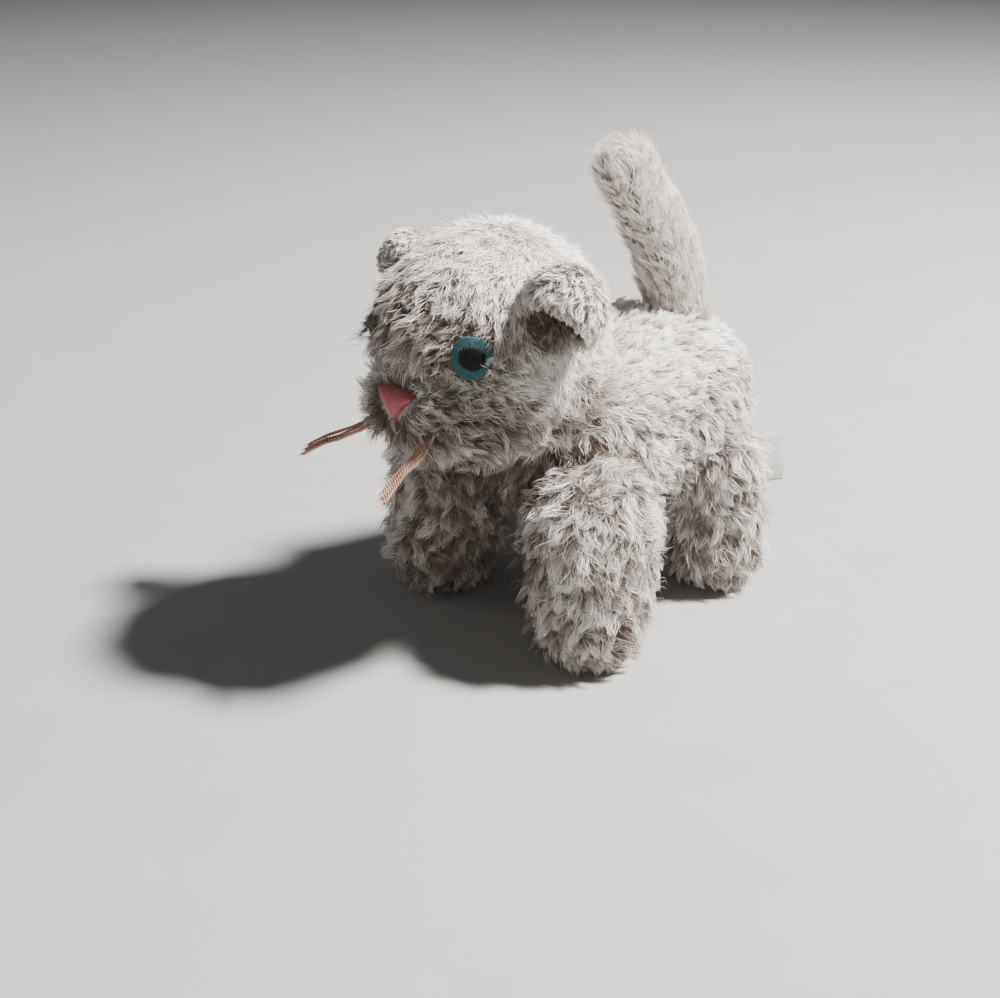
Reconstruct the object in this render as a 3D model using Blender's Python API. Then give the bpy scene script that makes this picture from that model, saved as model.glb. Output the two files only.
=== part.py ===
"""Small standing plush cat: sewn pile-fabric skins over fibre stuffing, in metres, +Z up.

The cat faces -Y and its left side is +X. The origin is on the floor under the middle of its bounding box.
The head, the ears, the tail and the four legs are separate stuffed pieces sewn to the torso, so each
has its own origin on the axis it bends about.
"""

import math

import bmesh
import bpy
from mathutils import Matrix, Vector

MM = 0.001

# Fabric and sewing
SKIN = 0.8 * MM  # thickness of the backing cloth
SEAM_GAP = 0.3 * MM  # between two pieces that touch
STUFFING_GAP = 0.3 * MM  # between a skin and the filling
JOINT_GAP = 0.4 * MM  # between two pieces that move

# Torso
TORSO_CENTRE = Vector((0.0, 15.7, 35.0)) * MM
TORSO_SEMI = Vector((20.0, 30.5, 17.0)) * MM
TORSO_POWER = 2.6
BELLY_SEAM_Z = 22.0 * MM

# Head
HEAD_CENTRE = Vector((0.0, -16.3, 56.5)) * MM
HEAD_R = 19.8 * MM
MUZZLE_DIRECTION = Vector((0.0, -15.6, -7.4)).normalized()
MUZZLE_DEPTH = 3.45 * MM  # the muzzle's centre lies this far under the head's surface
MUZZLE_SEMI = Vector((11.2, 8.0, 8.0)) * MM
GUSSET_HALF = 7.0 * MM
GUSSET_LOW = -6.0 * MM  # how far below the head's centre the gusset starts

# Face
EYE_OFFSET = Vector((12.1, -16.3, 3.8)) * MM
IRIS_R = 3.4 * MM
PUPIL_R = 2.0 * MM
FELT = 0.4 * MM
NOSE_OFFSET_Z = 1.9 * MM  # above the muzzle's centre
NOSE_HALF_WIDTH = 4.6 * MM
NOSE_HEIGHT = 4.3 * MM
STITCH = 0.6 * MM
MOUTH_LENGTH = 3.4 * MM
WHISKER_R = 0.25 * MM
WHISKER_PITCH = 0.82 * MM
WHISKER_COUNT = 3
WHISKER_AT = Vector((0.589, -0.80, -0.45))  # from the muzzle's centre, in its half sizes
LEFT_WHISKER_RUN = Vector((-0.6, -9.2, -6.6)) * MM
RIGHT_WHISKER_RUN = Vector((-8.4, -8.3, -4.8)) * MM

# Ears
LEFT_EAR_DIRECTION = Vector((19.8, -3.6, 10.6)).normalized()
RIGHT_EAR_DIRECTION = Vector((-19.2, -1.5, 9.0)).normalized()
LEFT_EAR_OUT = 3.0 * MM  # the ear's centre stands this far off the head's surface
RIGHT_EAR_OUT = 0.8 * MM  # this ear is pressed closer to the head
LEFT_EAR_FACING = Vector((-0.02, -0.76, -0.66)).normalized()  # where the opening looks
RIGHT_EAR_FACING = Vector((0.06, -0.74, -0.67)).normalized()
EAR_LIP = 2.4 * MM  # the opening's plane lies this far in front of the ear's centre
LINING_SET_BACK = 0.6 * MM
EAR_SEMI = Vector((6.2, 5.0, 6.4)) * MM
EAR_SKIN = 1.0 * MM
EAR_RANGE = 18.0

# Tail
TAIL_PATH = [
    Vector((0.0, 34.7, 48.0)) * MM,
    Vector((0.0, 32.5, 57.0)) * MM,
    Vector((0.0, 26.2, 69.0)) * MM,
    Vector((0.0, 17.7, 78.5)) * MM,
]
TAIL_R = [6.1 * MM, 6.0 * MM, 5.8 * MM, 5.0 * MM]
TAIL_RANGE = (-30.0, 8.0)

# Legs
FRONT_PIVOT = Vector((17.9, -9.7, 26.0)) * MM
FRONT_FOOT = Vector((19.4, -11.3, 0.0)) * MM
FRONT_LEG_R = 10.6 * MM
REAR_PIVOT = Vector((17.1, 26.1, 25.5)) * MM
REAR_FOOT = Vector((18.6, 27.9, 0.0)) * MM
REAR_LEG_R = 8.8 * MM
SOLE_SHARE = 0.5  # the flat of the sole, as a share of the leg's radius
LEG_RANGE = 18.0

# Care label
LABEL_Z = 21.5 * MM
LABEL_DIRECTION = Vector((0.12, 1.0, 0.0))
LABEL_OUT = 12.2 * MM
LABEL_HEIGHT = 10.4 * MM
RIBBON = 0.25 * MM
RIBBON_FOLD_R = 0.5 * MM

AROUND = 24  # points around a round section


def clear_scene():
    for item in list(bpy.data.objects):
        bpy.data.objects.remove(item, do_unlink=True)


clear_scene()

cat = bpy.data.collections.new("plush_cat")
bpy.context.scene.collection.children.link(cat)
tools = bpy.data.collections.new("cutters")
bpy.context.scene.collection.children.link(tools)


def material(name, colour, roughness, metallic=0.0):
    made = bpy.data.materials.new(name)
    made.use_nodes = True
    shader = made.node_tree.nodes["Principled BSDF"]
    shader.inputs["Base Color"].default_value = (*colour, 1.0)
    shader.inputs["Roughness"].default_value = roughness
    shader.inputs["Metallic"].default_value = metallic
    return made


PLUSH = ("plush", (0.56, 0.52, 0.47), 0.95)
LINING = ("ear_lining", (0.10, 0.06, 0.04), 0.95)
FILLING = ("filling", (0.86, 0.86, 0.84), 1.0)
TEAL = ("eye_teal", (0.07, 0.19, 0.20), 0.8)
BLACK = ("eye_black", (0.015, 0.015, 0.018), 0.7)
ROSE = ("nose_thread", (0.32, 0.075, 0.095), 0.6)
MAUVE = ("mouth_thread", (0.30, 0.13, 0.15), 0.6)
COPPER = ("whisker_floss", (0.50, 0.25, 0.18), 0.5)
RIBBON_WHITE = ("label_ribbon", (0.78, 0.76, 0.72), 0.7)


def mesh_object(name, points, faces, origin, look=None):
    """A mesh whose points are in world metres and whose own origin is at origin."""
    data = bpy.data.meshes.new(name)
    data.from_pydata([tuple(Vector(p) - origin) for p in points], [], faces)
    data.update()
    made = bpy.data.objects.new(name, data)
    made.location = origin
    if look is None:
        tools.objects.link(made)
        made.hide_render = True
        made.display_type = "WIRE"
    else:
        cat.objects.link(made)
        data.materials.append(material(name + "_" + look[0], look[1], look[2]))
    return made


def loft(rings, low_pole, high_pole):
    """Points and faces of a closed skin over rings that run from low_pole to high_pole."""
    points = [low_pole] + [p for ring in rings for p in ring] + [high_pole]
    n = len(rings[0])
    faces = [(0, 1 + (j + 1) % n, 1 + j) for j in range(n)]
    for i in range(len(rings) - 1):
        a = 1 + i * n
        for j in range(n):
            k = (j + 1) % n
            faces.append((a + j, a + k, a + n + k, a + n + j))
    a = 1 + (len(rings) - 1) * n
    faces += [(a + j, a + (j + 1) % n, len(points) - 1) for j in range(n)]
    return points, faces


def power_sign(value, power):
    return math.copysign(abs(value) ** power, value)


def blob(centre, semi, power=2.0, around=AROUND, levels=12):
    """A superellipsoid from its bottom pole to its top pole."""
    rings = []
    for i in range(1, levels):
        low = -math.pi / 2 + math.pi * i / levels
        ring = []
        for j in range(around):
            turn = 2 * math.pi * (j + 0.5) / around
            flat = power_sign(math.cos(low), 2 / power)
            ring.append(centre + Vector((
                semi.x * flat * power_sign(math.cos(turn), 2 / power),
                semi.y * flat * power_sign(math.sin(turn), 2 / power),
                semi.z * power_sign(math.sin(low), 2 / power),
            )))
        rings.append(ring)
    up = Vector((0, 0, semi.z))
    return loft(rings, centre - up, centre + up)


def round_ring(centre, radius, side, front, around):
    return [
        centre + radius * (math.cos(t) * side + math.sin(t) * front)
        for t in (2 * math.pi * (j + 0.5) / around for j in range(around))
    ]


def leg_shape(pivot, foot, radius, inset=0.0, floor=0.0, around=20):
    """A stubby tube: a flat sole with a rounded edge, then straight up to a ball about the pivot."""
    side, front = Vector((1, 0, 0)), Vector((0, 1, 0))
    r = radius - inset
    sole = radius * SOLE_SHARE - inset * 0.4
    lift = radius * 0.8
    rings = []
    for i in range(5):
        t = math.pi / 2 * i / 4
        z = floor + (lift - floor) * (1 - math.cos(t))
        mid = foot.lerp(pivot, z / pivot.z)
        rings.append(round_ring(
            Vector((mid.x, mid.y, z)), sole + (r - sole) * math.sin(t), side, front, around
        ))
    mid = foot.lerp(pivot, (lift + pivot.z) / 2 / pivot.z)
    rings.append(round_ring(mid, r, side, front, around))
    for i in range(5):
        t = math.pi / 2 * i / 5
        rings.append(round_ring(
            pivot + Vector((0, 0, r * math.sin(t))), r * math.cos(t), side, front, around
        ))
    low = Vector((foot.x, foot.y, floor))
    return loft(rings, low, pivot + Vector((0, 0, r)))


def path_point(path, share):
    """A smooth curve through the points of path, and its direction."""
    spans = len(path) - 1
    i = min(int(share * spans), spans - 1)
    t = share * spans - i
    a, b = path[i], path[i + 1]
    before = path[i - 1] if i else a * 2 - b
    after = path[i + 2] if i + 2 < len(path) else b * 2 - a
    ta, tb = (b - before) / 2, (after - a) / 2
    at = (
        a * (2 * t**3 - 3 * t**2 + 1) + ta * (t**3 - 2 * t**2 + t)
        + b * (3 * t**2 - 2 * t**3) + tb * (t**3 - t**2)
    )
    run = (
        a * (6 * t**2 - 6 * t) + ta * (3 * t**2 - 4 * t + 1)
        + b * (6 * t - 6 * t**2) + tb * (3 * t**2 - 2 * t)
    )
    return at, run.normalized()


def radius_at(radii, share):
    spans = len(radii) - 1
    i = min(int(share * spans), spans - 1)
    t = share * spans - i
    return radii[i] * (1 - t) + radii[i + 1] * t


def tail_shape(inset=0.0, end=1.0, around=18):
    """A tube along the tail's path with a round end each way, centred on the root pivot below."""
    side = Vector((1, 0, 0))
    rings = []
    at, run = path_point(TAIL_PATH, 0.0)
    r = TAIL_R[0] - inset
    front = run.cross(side)
    low = at - run * r
    for i in range(1, 5):
        t = math.pi / 2 * (1 - i / 5)
        rings.append(round_ring(at - run * r * math.sin(t), r * math.cos(t), side, front, around))
    for i in range(9):
        share = end * i / 8
        at, run = path_point(TAIL_PATH, share)
        r = radius_at(TAIL_R, share) - inset
        front = run.cross(side)
        rings.append(round_ring(at, r, side, front, around))
    for i in range(1, 5):
        t = math.pi / 2 * i / 5
        rings.append(round_ring(at + run * r * math.sin(t), r * math.cos(t), side, front, around))
    return loft(rings, low, at + run * r)


BOX_FACES = [(0, 1, 3, 2), (4, 6, 7, 5), (0, 4, 5, 1), (2, 3, 7, 6), (0, 2, 6, 4), (1, 5, 7, 3)]


def box(name, low, high, turn=0.0, about=None):
    """A cutter box, turned about Y through the point about."""
    origin = about or Vector((0, 0, 0))
    corners = [
        Vector((x, y, z))
        for x in (low.x, high.x) for y in (low.y, high.y) for z in (low.z, high.z)
    ]
    made = mesh_object(name, corners, BOX_FACES, origin)
    made.rotation_euler = (0, turn, 0)
    return made


def hull(name, clouds):
    """A cutter: the tightest convex solid around all the points."""
    shape = bmesh.new()
    for cloud in clouds:
        for point in cloud:
            shape.verts.new(point)
    result = bmesh.ops.convex_hull(shape, input=shape.verts)
    spare = [v for v in result["geom_interior"] if isinstance(v, bmesh.types.BMVert)]
    bmesh.ops.delete(shape, geom=spare, context="VERTS")
    data = bpy.data.meshes.new(name)
    shape.to_mesh(data)
    shape.free()
    made = bpy.data.objects.new(name, data)
    tools.objects.link(made)
    made.hide_render = True
    made.display_type = "WIRE"
    return made


def turned(points, pivot, axis, degrees):
    turn = Matrix.Rotation(math.radians(degrees), 3, axis)
    return [pivot + turn @ (Vector(p) - pivot) for p in points]


def boolean(target, cutter, operation):
    step = target.modifiers.new(operation.title() + " " + cutter.name, "BOOLEAN")
    step.operation = operation
    step.solver = "EXACT"
    step.object = cutter


def cut(target, *cutters):
    for cutter in cutters:
        boolean(target, cutter, "DIFFERENCE")


def keep(target, *cutters):
    for cutter in cutters:
        boolean(target, cutter, "INTERSECT")


FAR = 200 * MM
HALF_GAP = SEAM_GAP / 2


def half_space(name, side, about=None, turn=0.0):
    """Everything on one side of a seam plane that faces X, half a gap away from it."""
    base = about or Vector((0, 0, 0))
    if side > 0:
        low, high = base + Vector((HALF_GAP, -FAR, -FAR)), base + Vector((FAR, FAR, FAR))
    else:
        low, high = base + Vector((-FAR, -FAR, -FAR)), base + Vector((-HALF_GAP, FAR, FAR))
    return box(name, low, high, turn, about)


# --- Cutters that clear the moving pieces ---------------------------------------------------------

ORIGIN = Vector((0, 0, 0))
left_half = half_space("cut_left_half", 1)
right_half = half_space("cut_right_half", -1)
head_dish = mesh_object(
    "cut_head_dish",
    *blob(HEAD_CENTRE, Vector((1, 1, 1)) * (HEAD_R + JOINT_GAP * 1.2), around=28, levels=16),
    ORIGIN,
)

LEGS = {}
for end, pivot, foot, radius in (
    ("front", FRONT_PIVOT, FRONT_FOOT, FRONT_LEG_R),
    ("rear", REAR_PIVOT, REAR_FOOT, REAR_LEG_R),
):
    for side, sign in (("left", 1), ("right", -1)):
        flip = Vector((sign, 1, 1))
        LEGS[end + "_" + side] = (sign, pivot * flip, foot * flip, radius)

leg_cutters = []
for leg, (sign, pivot, foot, radius) in LEGS.items():
    cloud, _ = leg_shape(pivot, foot, radius, inset=-JOINT_GAP * 1.6, floor=-JOINT_GAP, around=14)
    leg_cutters.append(hull("cut_swing_" + leg, [
        turned(cloud, pivot, "X", angle) for angle in (-LEG_RANGE, 0, LEG_RANGE)
    ]))

root_cloud, _ = tail_shape(inset=-JOINT_GAP * 1.6, end=0.34, around=12)
TAIL_PIVOT = TAIL_PATH[0]
tail_cutter = hull("cut_swing_tail", [
    turned(root_cloud, TAIL_PIVOT, "X", TAIL_RANGE[0] + (TAIL_RANGE[1] - TAIL_RANGE[0]) * i / 3)
    for i in range(4)
])

# --- Torso ----------------------------------------------------------------------------------------

torso_core = mesh_object(
    "cut_torso_core",
    *blob(TORSO_CENTRE, TORSO_SEMI - Vector((1, 1, 1)) * SKIN, TORSO_POWER),
    ORIGIN,
)
moving_cutters = [head_dish, tail_cutter] + leg_cutters
above_belly = box(
    "cut_above_belly", Vector((-FAR, -FAR, BELLY_SEAM_Z + HALF_GAP)), Vector((FAR, FAR, FAR))
)
below_belly = box(
    "cut_below_belly", Vector((-FAR, -FAR, -FAR)), Vector((FAR, FAR, BELLY_SEAM_Z - HALF_GAP))
)


def torso_piece(name, shape, look, *regions, hollow=True):
    piece = mesh_object(name, *shape, ORIGIN, look)
    keep(piece, *regions)
    if hollow:
        cut(piece, torso_core)
    cut(piece, *moving_cutters)
    return piece


torso_outside = blob(TORSO_CENTRE, TORSO_SEMI, TORSO_POWER)
torso_piece("torso_skin_left", torso_outside, PLUSH, left_half, above_belly)
torso_piece("torso_skin_right", torso_outside, PLUSH, right_half, above_belly)
torso_piece("belly_skin", torso_outside, PLUSH, below_belly)
torso_piece(
    "torso_stuffing",
    blob(TORSO_CENTRE, TORSO_SEMI - Vector((1, 1, 1)) * (SKIN + STUFFING_GAP), TORSO_POWER),
    FILLING,
    hollow=False,
)

# --- Head -----------------------------------------------------------------------------------------

MUZZLE_CENTRE = HEAD_CENTRE + MUZZLE_DIRECTION * (HEAD_R - MUZZLE_DEPTH)


def head_ball(grow, levels=14):
    return blob(HEAD_CENTRE, Vector((1, 1, 1)) * (HEAD_R + grow), levels=levels)


def muzzle_ball(grow):
    return blob(MUZZLE_CENTRE, MUZZLE_SEMI + Vector((1, 1, 1)) * grow, around=20, levels=10)


def head_cutter(name, grow):
    """The head's ball and the muzzle's ball, grown or shrunk, as two cutters."""
    return (
        mesh_object(name + "_ball", *head_ball(grow), HEAD_CENTRE),
        mesh_object(name + "_muzzle", *muzzle_ball(grow), HEAD_CENTRE),
    )


head_core = head_cutter("cut_head_core", -SKIN)
muzzle_outside = mesh_object("add_muzzle", *muzzle_ball(0.0), HEAD_CENTRE)
muzzle_filling = mesh_object("add_muzzle_filling", *muzzle_ball(-SKIN - STUFFING_GAP), HEAD_CENTRE)
gusset_zone = box(
    "cut_gusset_zone",
    Vector((-GUSSET_HALF + HALF_GAP, -FAR, HEAD_CENTRE.z + GUSSET_LOW + HALF_GAP)),
    Vector((GUSSET_HALF - HALF_GAP, FAR, FAR)),
)
beside_gusset = box(
    "cut_beside_gusset",
    Vector((-GUSSET_HALF - HALF_GAP, -FAR, HEAD_CENTRE.z + GUSSET_LOW - HALF_GAP)),
    Vector((GUSSET_HALF + HALF_GAP, FAR, FAR)),
)


def head_skin(name, region, *outside):
    piece = mesh_object(name, *head_ball(0.0), HEAD_CENTRE, PLUSH)
    boolean(piece, muzzle_outside, "UNION")
    keep(piece, region)
    cut(piece, *outside, *head_core)
    return piece


head_skin("head_skin_left", left_half, beside_gusset)
head_skin("head_skin_right", right_half, beside_gusset)
head_skin("head_gusset", gusset_zone)
head_filling = mesh_object(
    "head_stuffing", *head_ball(-SKIN - STUFFING_GAP), HEAD_CENTRE, FILLING
)
boolean(head_filling, muzzle_filling, "UNION")

# --- Eyes, nose and mouth: layers that follow the head's surface ----------------------------------


def post(name, outline, base, normal, up):
    """A cutter prism: a flat outline pushed 12 mm both ways along normal."""
    side = up.cross(normal).normalized()
    rise = normal.cross(side).normalized()
    reach = 12 * MM
    count = len(outline)
    points = [
        base + side * x + rise * y + normal * depth
        for depth in (-reach, reach) for x, y in outline
    ]
    faces = [tuple(reversed(range(count))), tuple(range(count, 2 * count))]
    faces += [
        (i, (i + 1) % count, count + (i + 1) % count, count + i) for i in range(count)
    ]
    return mesh_object(name, points, faces, HEAD_CENTRE)


def disc(radius, count=24):
    return [
        (radius * math.cos(2 * math.pi * i / count), radius * math.sin(2 * math.pi * i / count))
        for i in range(count)
    ]


def rounded_triangle(half_width, height, count=10):
    """A triangle with its point down and soft corners, wider than it is tall."""
    outline = []
    corner = half_width * 0.3
    centres = [
        (half_width - corner, height * 0.42, -40),
        (-half_width + corner, height * 0.42, 80),
        (0.0, -height * 0.58 + corner, 215),
    ]
    for x, y, start in centres:
        for i in range(count):
            t = math.radians(start + (130 if start < 200 else 110) * i / (count - 1))
            outline.append((x + corner * math.cos(t), y + corner * math.sin(t)))
    return outline


for side, sign in (("left", 1), ("right", -1)):
    direction = (EYE_OFFSET * Vector((sign, 1, 1))).normalized()
    for part, radius, low, look in (
        ("iris", IRIS_R, SEAM_GAP, TEAL),
        ("pupil", PUPIL_R, SEAM_GAP * 2 + FELT, BLACK),
    ):
        name = "eye_" + side + "_" + part
        layer = mesh_object(
            name, *blob(HEAD_CENTRE, Vector((1, 1, 1)) * (HEAD_R + low + FELT), levels=22, around=40),
            HEAD_CENTRE, look,
        )
        keep(layer, post("cut_" + name, disc(radius), HEAD_CENTRE + direction * HEAD_R,
                         direction, Vector((0, 0, 1))))
        under = mesh_object(
            "cut_under_" + name,
            *blob(HEAD_CENTRE, Vector((1, 1, 1)) * (HEAD_R + low), levels=22, around=40),
            HEAD_CENTRE,
        )
        cut(layer, under)

nose_normal = Vector((0, -1, 0.30)).normalized()
nose_base = MUZZLE_CENTRE + Vector((0, -MUZZLE_SEMI.y, NOSE_OFFSET_Z))
over_muzzle = head_cutter("cut_over_muzzle", SEAM_GAP)


def muzzle_layer(name, thickness, look, prism):
    piece = mesh_object(name, *muzzle_ball(SEAM_GAP + thickness), HEAD_CENTRE, look)
    keep(piece, prism)
    cut(piece, *over_muzzle)
    return piece


muzzle_front = box(
    "cut_muzzle_front", Vector((-FAR, -FAR, -FAR)), Vector((FAR, MUZZLE_CENTRE.y - 1 * MM, FAR))
)
nose = muzzle_layer(
    "nose_stitching", STITCH, ROSE,
    post("cut_nose", rounded_triangle(NOSE_HALF_WIDTH, NOSE_HEIGHT), nose_base, nose_normal,
         Vector((0, 0, 1))),
)
keep(nose, muzzle_front)
mouth_top = nose_base.z - NOSE_HEIGHT * 0.58 - SEAM_GAP
mouth = muzzle_layer(
    "mouth_stitching", STITCH, MAUVE,
    box(
        "cut_mouth",
        Vector((-STITCH * 0.7, -FAR, mouth_top - MOUTH_LENGTH)),
        Vector((STITCH * 0.7, MUZZLE_CENTRE.y, mouth_top)),
    ),
)

# --- Whiskers: three plied threads side by side, each side of the muzzle --------------------------


def thread(name, start, run, droop, radius, look, origin):
    """A round thread with flat ends that bends evenly by droop over its length."""
    count, around = 7, 8
    rings = []
    for i in range(count):
        t = i / (count - 1)
        at = start + run * t + droop * t * t
        along = (run + droop * 2 * t).normalized()
        side = along.cross(Vector((0, 0, 1))).normalized()
        rings.append(round_ring(at, radius, side, along.cross(side), around))
    points, faces = loft(rings, start, start + run + droop)
    return mesh_object(name, points, faces, origin, look)


for side, sign, run in (("left", 1, LEFT_WHISKER_RUN), ("right", -1, RIGHT_WHISKER_RUN)):
    start = MUZZLE_CENTRE + WHISKER_AT * MUZZLE_SEMI * Vector((sign, 1, 1))
    across = run.cross(Vector((0, -0.5, 1))).normalized()
    for i in range(WHISKER_COUNT):
        shift = across * WHISKER_PITCH * (i - (WHISKER_COUNT - 1) / 2)
        thread(
            "whisker_" + side + "_" + str(i + 1), start + shift,
            run * (1.0 - 0.04 * i), Vector((0, 0, -0.8)) * MM, WHISKER_R, COPPER, HEAD_CENTRE,
        )

# --- Ears: a cupped skin with a dark lining, open to the front ------------------------------------



def half_space_behind(name, point, facing):
    """Everything behind the plane through point that looks along facing."""
    corners = [
        Vector((x, y, z)) for x in (-FAR, FAR) for y in (-FAR, FAR) for z in (-FAR, 0.0)
    ]
    made = mesh_object(name, corners, BOX_FACES, Vector((0, 0, 0)))
    made.location = point
    made.rotation_euler = facing.to_track_quat("Z", "Y").to_euler()
    return made


EARS = {
    "left": (LEFT_EAR_DIRECTION, LEFT_EAR_OUT, LEFT_EAR_FACING),
    "right": (RIGHT_EAR_DIRECTION, RIGHT_EAR_OUT, RIGHT_EAR_FACING),
}
for side, (out, off, facing) in EARS.items():
    centre = HEAD_CENTRE + out * (HEAD_R + off)
    hinge = HEAD_CENTRE + out * (HEAD_R + JOINT_GAP)
    upright = (Vector((0, 0, 1)) - out * out.z).normalized()
    clear = []
    for i in range(3):
        angle = EAR_RANGE * (i - 1)
        at = turned([HEAD_CENTRE], hinge, upright, angle)[0]
        clear.append(mesh_object(
            "cut_head_from_ear_" + side + str(i),
            *blob(at, Vector((1, 1, 1)) * (HEAD_R + JOINT_GAP * 2), around=20, levels=12), hinge,
        ))
    lip = half_space_behind("cut_ear_front_" + side, centre + facing * EAR_LIP, facing)
    lining_lip = half_space_behind(
        "cut_lining_front_" + side, centre + facing * (EAR_LIP - LINING_SET_BACK), facing
    )
    layers = (
        ("ear_" + side + "_skin", 0.0, EAR_SKIN, PLUSH, lip),
        ("ear_" + side + "_lining", EAR_SKIN + SEAM_GAP, SKIN, LINING, lining_lip),
    )
    for name, inset, thickness, look, back in layers:
        one = Vector((1, 1, 1))
        piece = mesh_object(name, *blob(centre, EAR_SEMI - one * inset, around=18, levels=10), hinge, look)
        hollow = mesh_object(
            "cut_hollow_" + name, *blob(centre, EAR_SEMI - one * (inset + thickness), around=18, levels=10),
            hinge,
        )
        keep(piece, back)
        cut(piece, hollow, *clear)

# --- Tail -----------------------------------------------------------------------------------------

tail_core = mesh_object("cut_tail_core", *tail_shape(inset=SKIN), TAIL_PIVOT)
for side, region in (("left", left_half), ("right", right_half)):
    piece = mesh_object("tail_skin_" + side, *tail_shape(), TAIL_PIVOT, PLUSH)
    keep(piece, region)
    cut(piece, tail_core)
mesh_object("tail_stuffing", *tail_shape(inset=SKIN + STUFFING_GAP), TAIL_PIVOT, FILLING)

# --- Legs -----------------------------------------------------------------------------------------

for leg, (sign, pivot, foot, radius) in LEGS.items():
    lean = math.atan2(pivot.x - foot.x, pivot.z)
    core = mesh_object(
        "cut_core_" + leg, *leg_shape(pivot, foot, radius, inset=SKIN, floor=SKIN), pivot
    )
    for part, way in (("outer", sign), ("inner", -sign)):
        region = half_space("cut_" + part + "_" + leg, way, pivot, lean)
        piece = mesh_object(
            "leg_" + leg + "_" + part, *leg_shape(pivot, foot, radius), pivot, PLUSH
        )
        keep(piece, region)
        cut(piece, core)
    filled = SKIN + STUFFING_GAP
    mesh_object(
        "leg_" + leg + "_stuffing",
        *leg_shape(pivot, foot, radius, inset=filled, floor=filled), pivot, FILLING,
    )

# --- Care label: a blank ribbon folded over, sewn into the back seam of the left hind leg ---------

_, label_pivot, label_foot, _ = LEGS["rear_left"]
LABEL_ROOT = label_foot.lerp(label_pivot, LABEL_Z / label_pivot.z)
LABEL_ROOT += Vector((0, REAR_LEG_R + SEAM_GAP, 0))

out = LABEL_DIRECTION.normalized()
across = out.cross(Vector((0, 0, 1))).normalized()
half_gap = RIBBON_FOLD_R - RIBBON
outline = [(0.0, RIBBON_FOLD_R), (LABEL_OUT - RIBBON_FOLD_R, RIBBON_FOLD_R)]
FOLD_STEPS = 6
for i in range(1, FOLD_STEPS):
    t = math.pi * (0.5 - i / FOLD_STEPS)
    outline.append((
        LABEL_OUT - RIBBON_FOLD_R + RIBBON_FOLD_R * math.cos(t), RIBBON_FOLD_R * math.sin(t)
    ))
outline += [(LABEL_OUT - RIBBON_FOLD_R, -RIBBON_FOLD_R), (0.0, -RIBBON_FOLD_R)]
outline += [(0.0, -half_gap), (LABEL_OUT - RIBBON_FOLD_R, -half_gap)]
for i in range(1, FOLD_STEPS):
    t = math.pi * (-0.5 + i / FOLD_STEPS)
    outline.append((LABEL_OUT - RIBBON_FOLD_R + half_gap * math.cos(t), half_gap * math.sin(t)))
outline += [(LABEL_OUT - RIBBON_FOLD_R, half_gap), (0.0, half_gap)]
count = len(outline)
label_points = [
    LABEL_ROOT + out * u + across * v + Vector((0, 0, height))
    for height in (-LABEL_HEIGHT / 2, LABEL_HEIGHT / 2) for u, v in outline
]
label_faces = [tuple(reversed(range(count))), tuple(range(count, 2 * count))]
label_faces += [(i, (i + 1) % count, count + (i + 1) % count, count + i) for i in range(count)]
mesh_object("care_label", label_points, label_faces, label_pivot, RIBBON_WHITE)
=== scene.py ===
"""The looks of the small standing plush cat.

Each stuffed piece starts as the frame's own filling. Cloth pressure swells it to its skin, and the skin
then carries a combed pile of separate strands. The face, the whiskers and the label are sewn on top.
"""

import math

import bpy
import numpy as np
from mathutils import Matrix, Vector
from mathutils.bvhtree import BVHTree
from mathutils.kdtree import KDTree


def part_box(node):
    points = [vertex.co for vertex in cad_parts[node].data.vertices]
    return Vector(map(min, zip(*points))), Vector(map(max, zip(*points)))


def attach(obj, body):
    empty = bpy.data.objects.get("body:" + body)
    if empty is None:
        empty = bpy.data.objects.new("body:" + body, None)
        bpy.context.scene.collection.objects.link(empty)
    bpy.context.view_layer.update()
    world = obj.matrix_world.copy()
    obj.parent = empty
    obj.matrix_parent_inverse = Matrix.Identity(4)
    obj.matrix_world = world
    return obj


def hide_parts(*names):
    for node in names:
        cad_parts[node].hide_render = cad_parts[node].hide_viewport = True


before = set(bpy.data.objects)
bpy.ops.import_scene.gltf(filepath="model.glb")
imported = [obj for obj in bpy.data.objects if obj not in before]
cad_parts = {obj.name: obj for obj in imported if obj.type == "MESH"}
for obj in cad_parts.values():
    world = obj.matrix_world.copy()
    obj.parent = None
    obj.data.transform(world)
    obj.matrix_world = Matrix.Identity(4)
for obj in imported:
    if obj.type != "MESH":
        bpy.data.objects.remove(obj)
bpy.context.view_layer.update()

MM = 0.001
SIDES = (("left", 1), ("right", -1))
MAP = "OFBake"

# --- Camera, lights and floor -----------------------------------------------------------------------


def aim(thing, at):
    thing.rotation_euler = (Vector(at) - thing.location).to_track_quat("-Z", "Y").to_euler()


def add_camera():
    data = bpy.data.cameras.new("camera")
    data.lens = 46.8
    data.sensor_width = 36.0
    data.sensor_fit = "HORIZONTAL"
    data.clip_start = 0.01
    camera = bpy.data.objects.new("camera", data)
    camera.location = (0.148, -0.16235, 0.130)
    camera.rotation_euler = (math.radians(63.5), 0.0, math.radians(45.0))
    bpy.context.scene.collection.objects.link(camera)
    bpy.context.scene.camera = camera


def add_light(name, place, size, watts, colour):
    data = bpy.data.lights.new(name, "AREA")
    data.shape = "DISK"
    data.size = size
    data.energy = watts
    data.color = colour
    light = bpy.data.objects.new(name, data)
    light.location = place
    aim(light, (0.0, 0.0, 0.035))
    bpy.context.scene.collection.objects.link(light)


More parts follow.
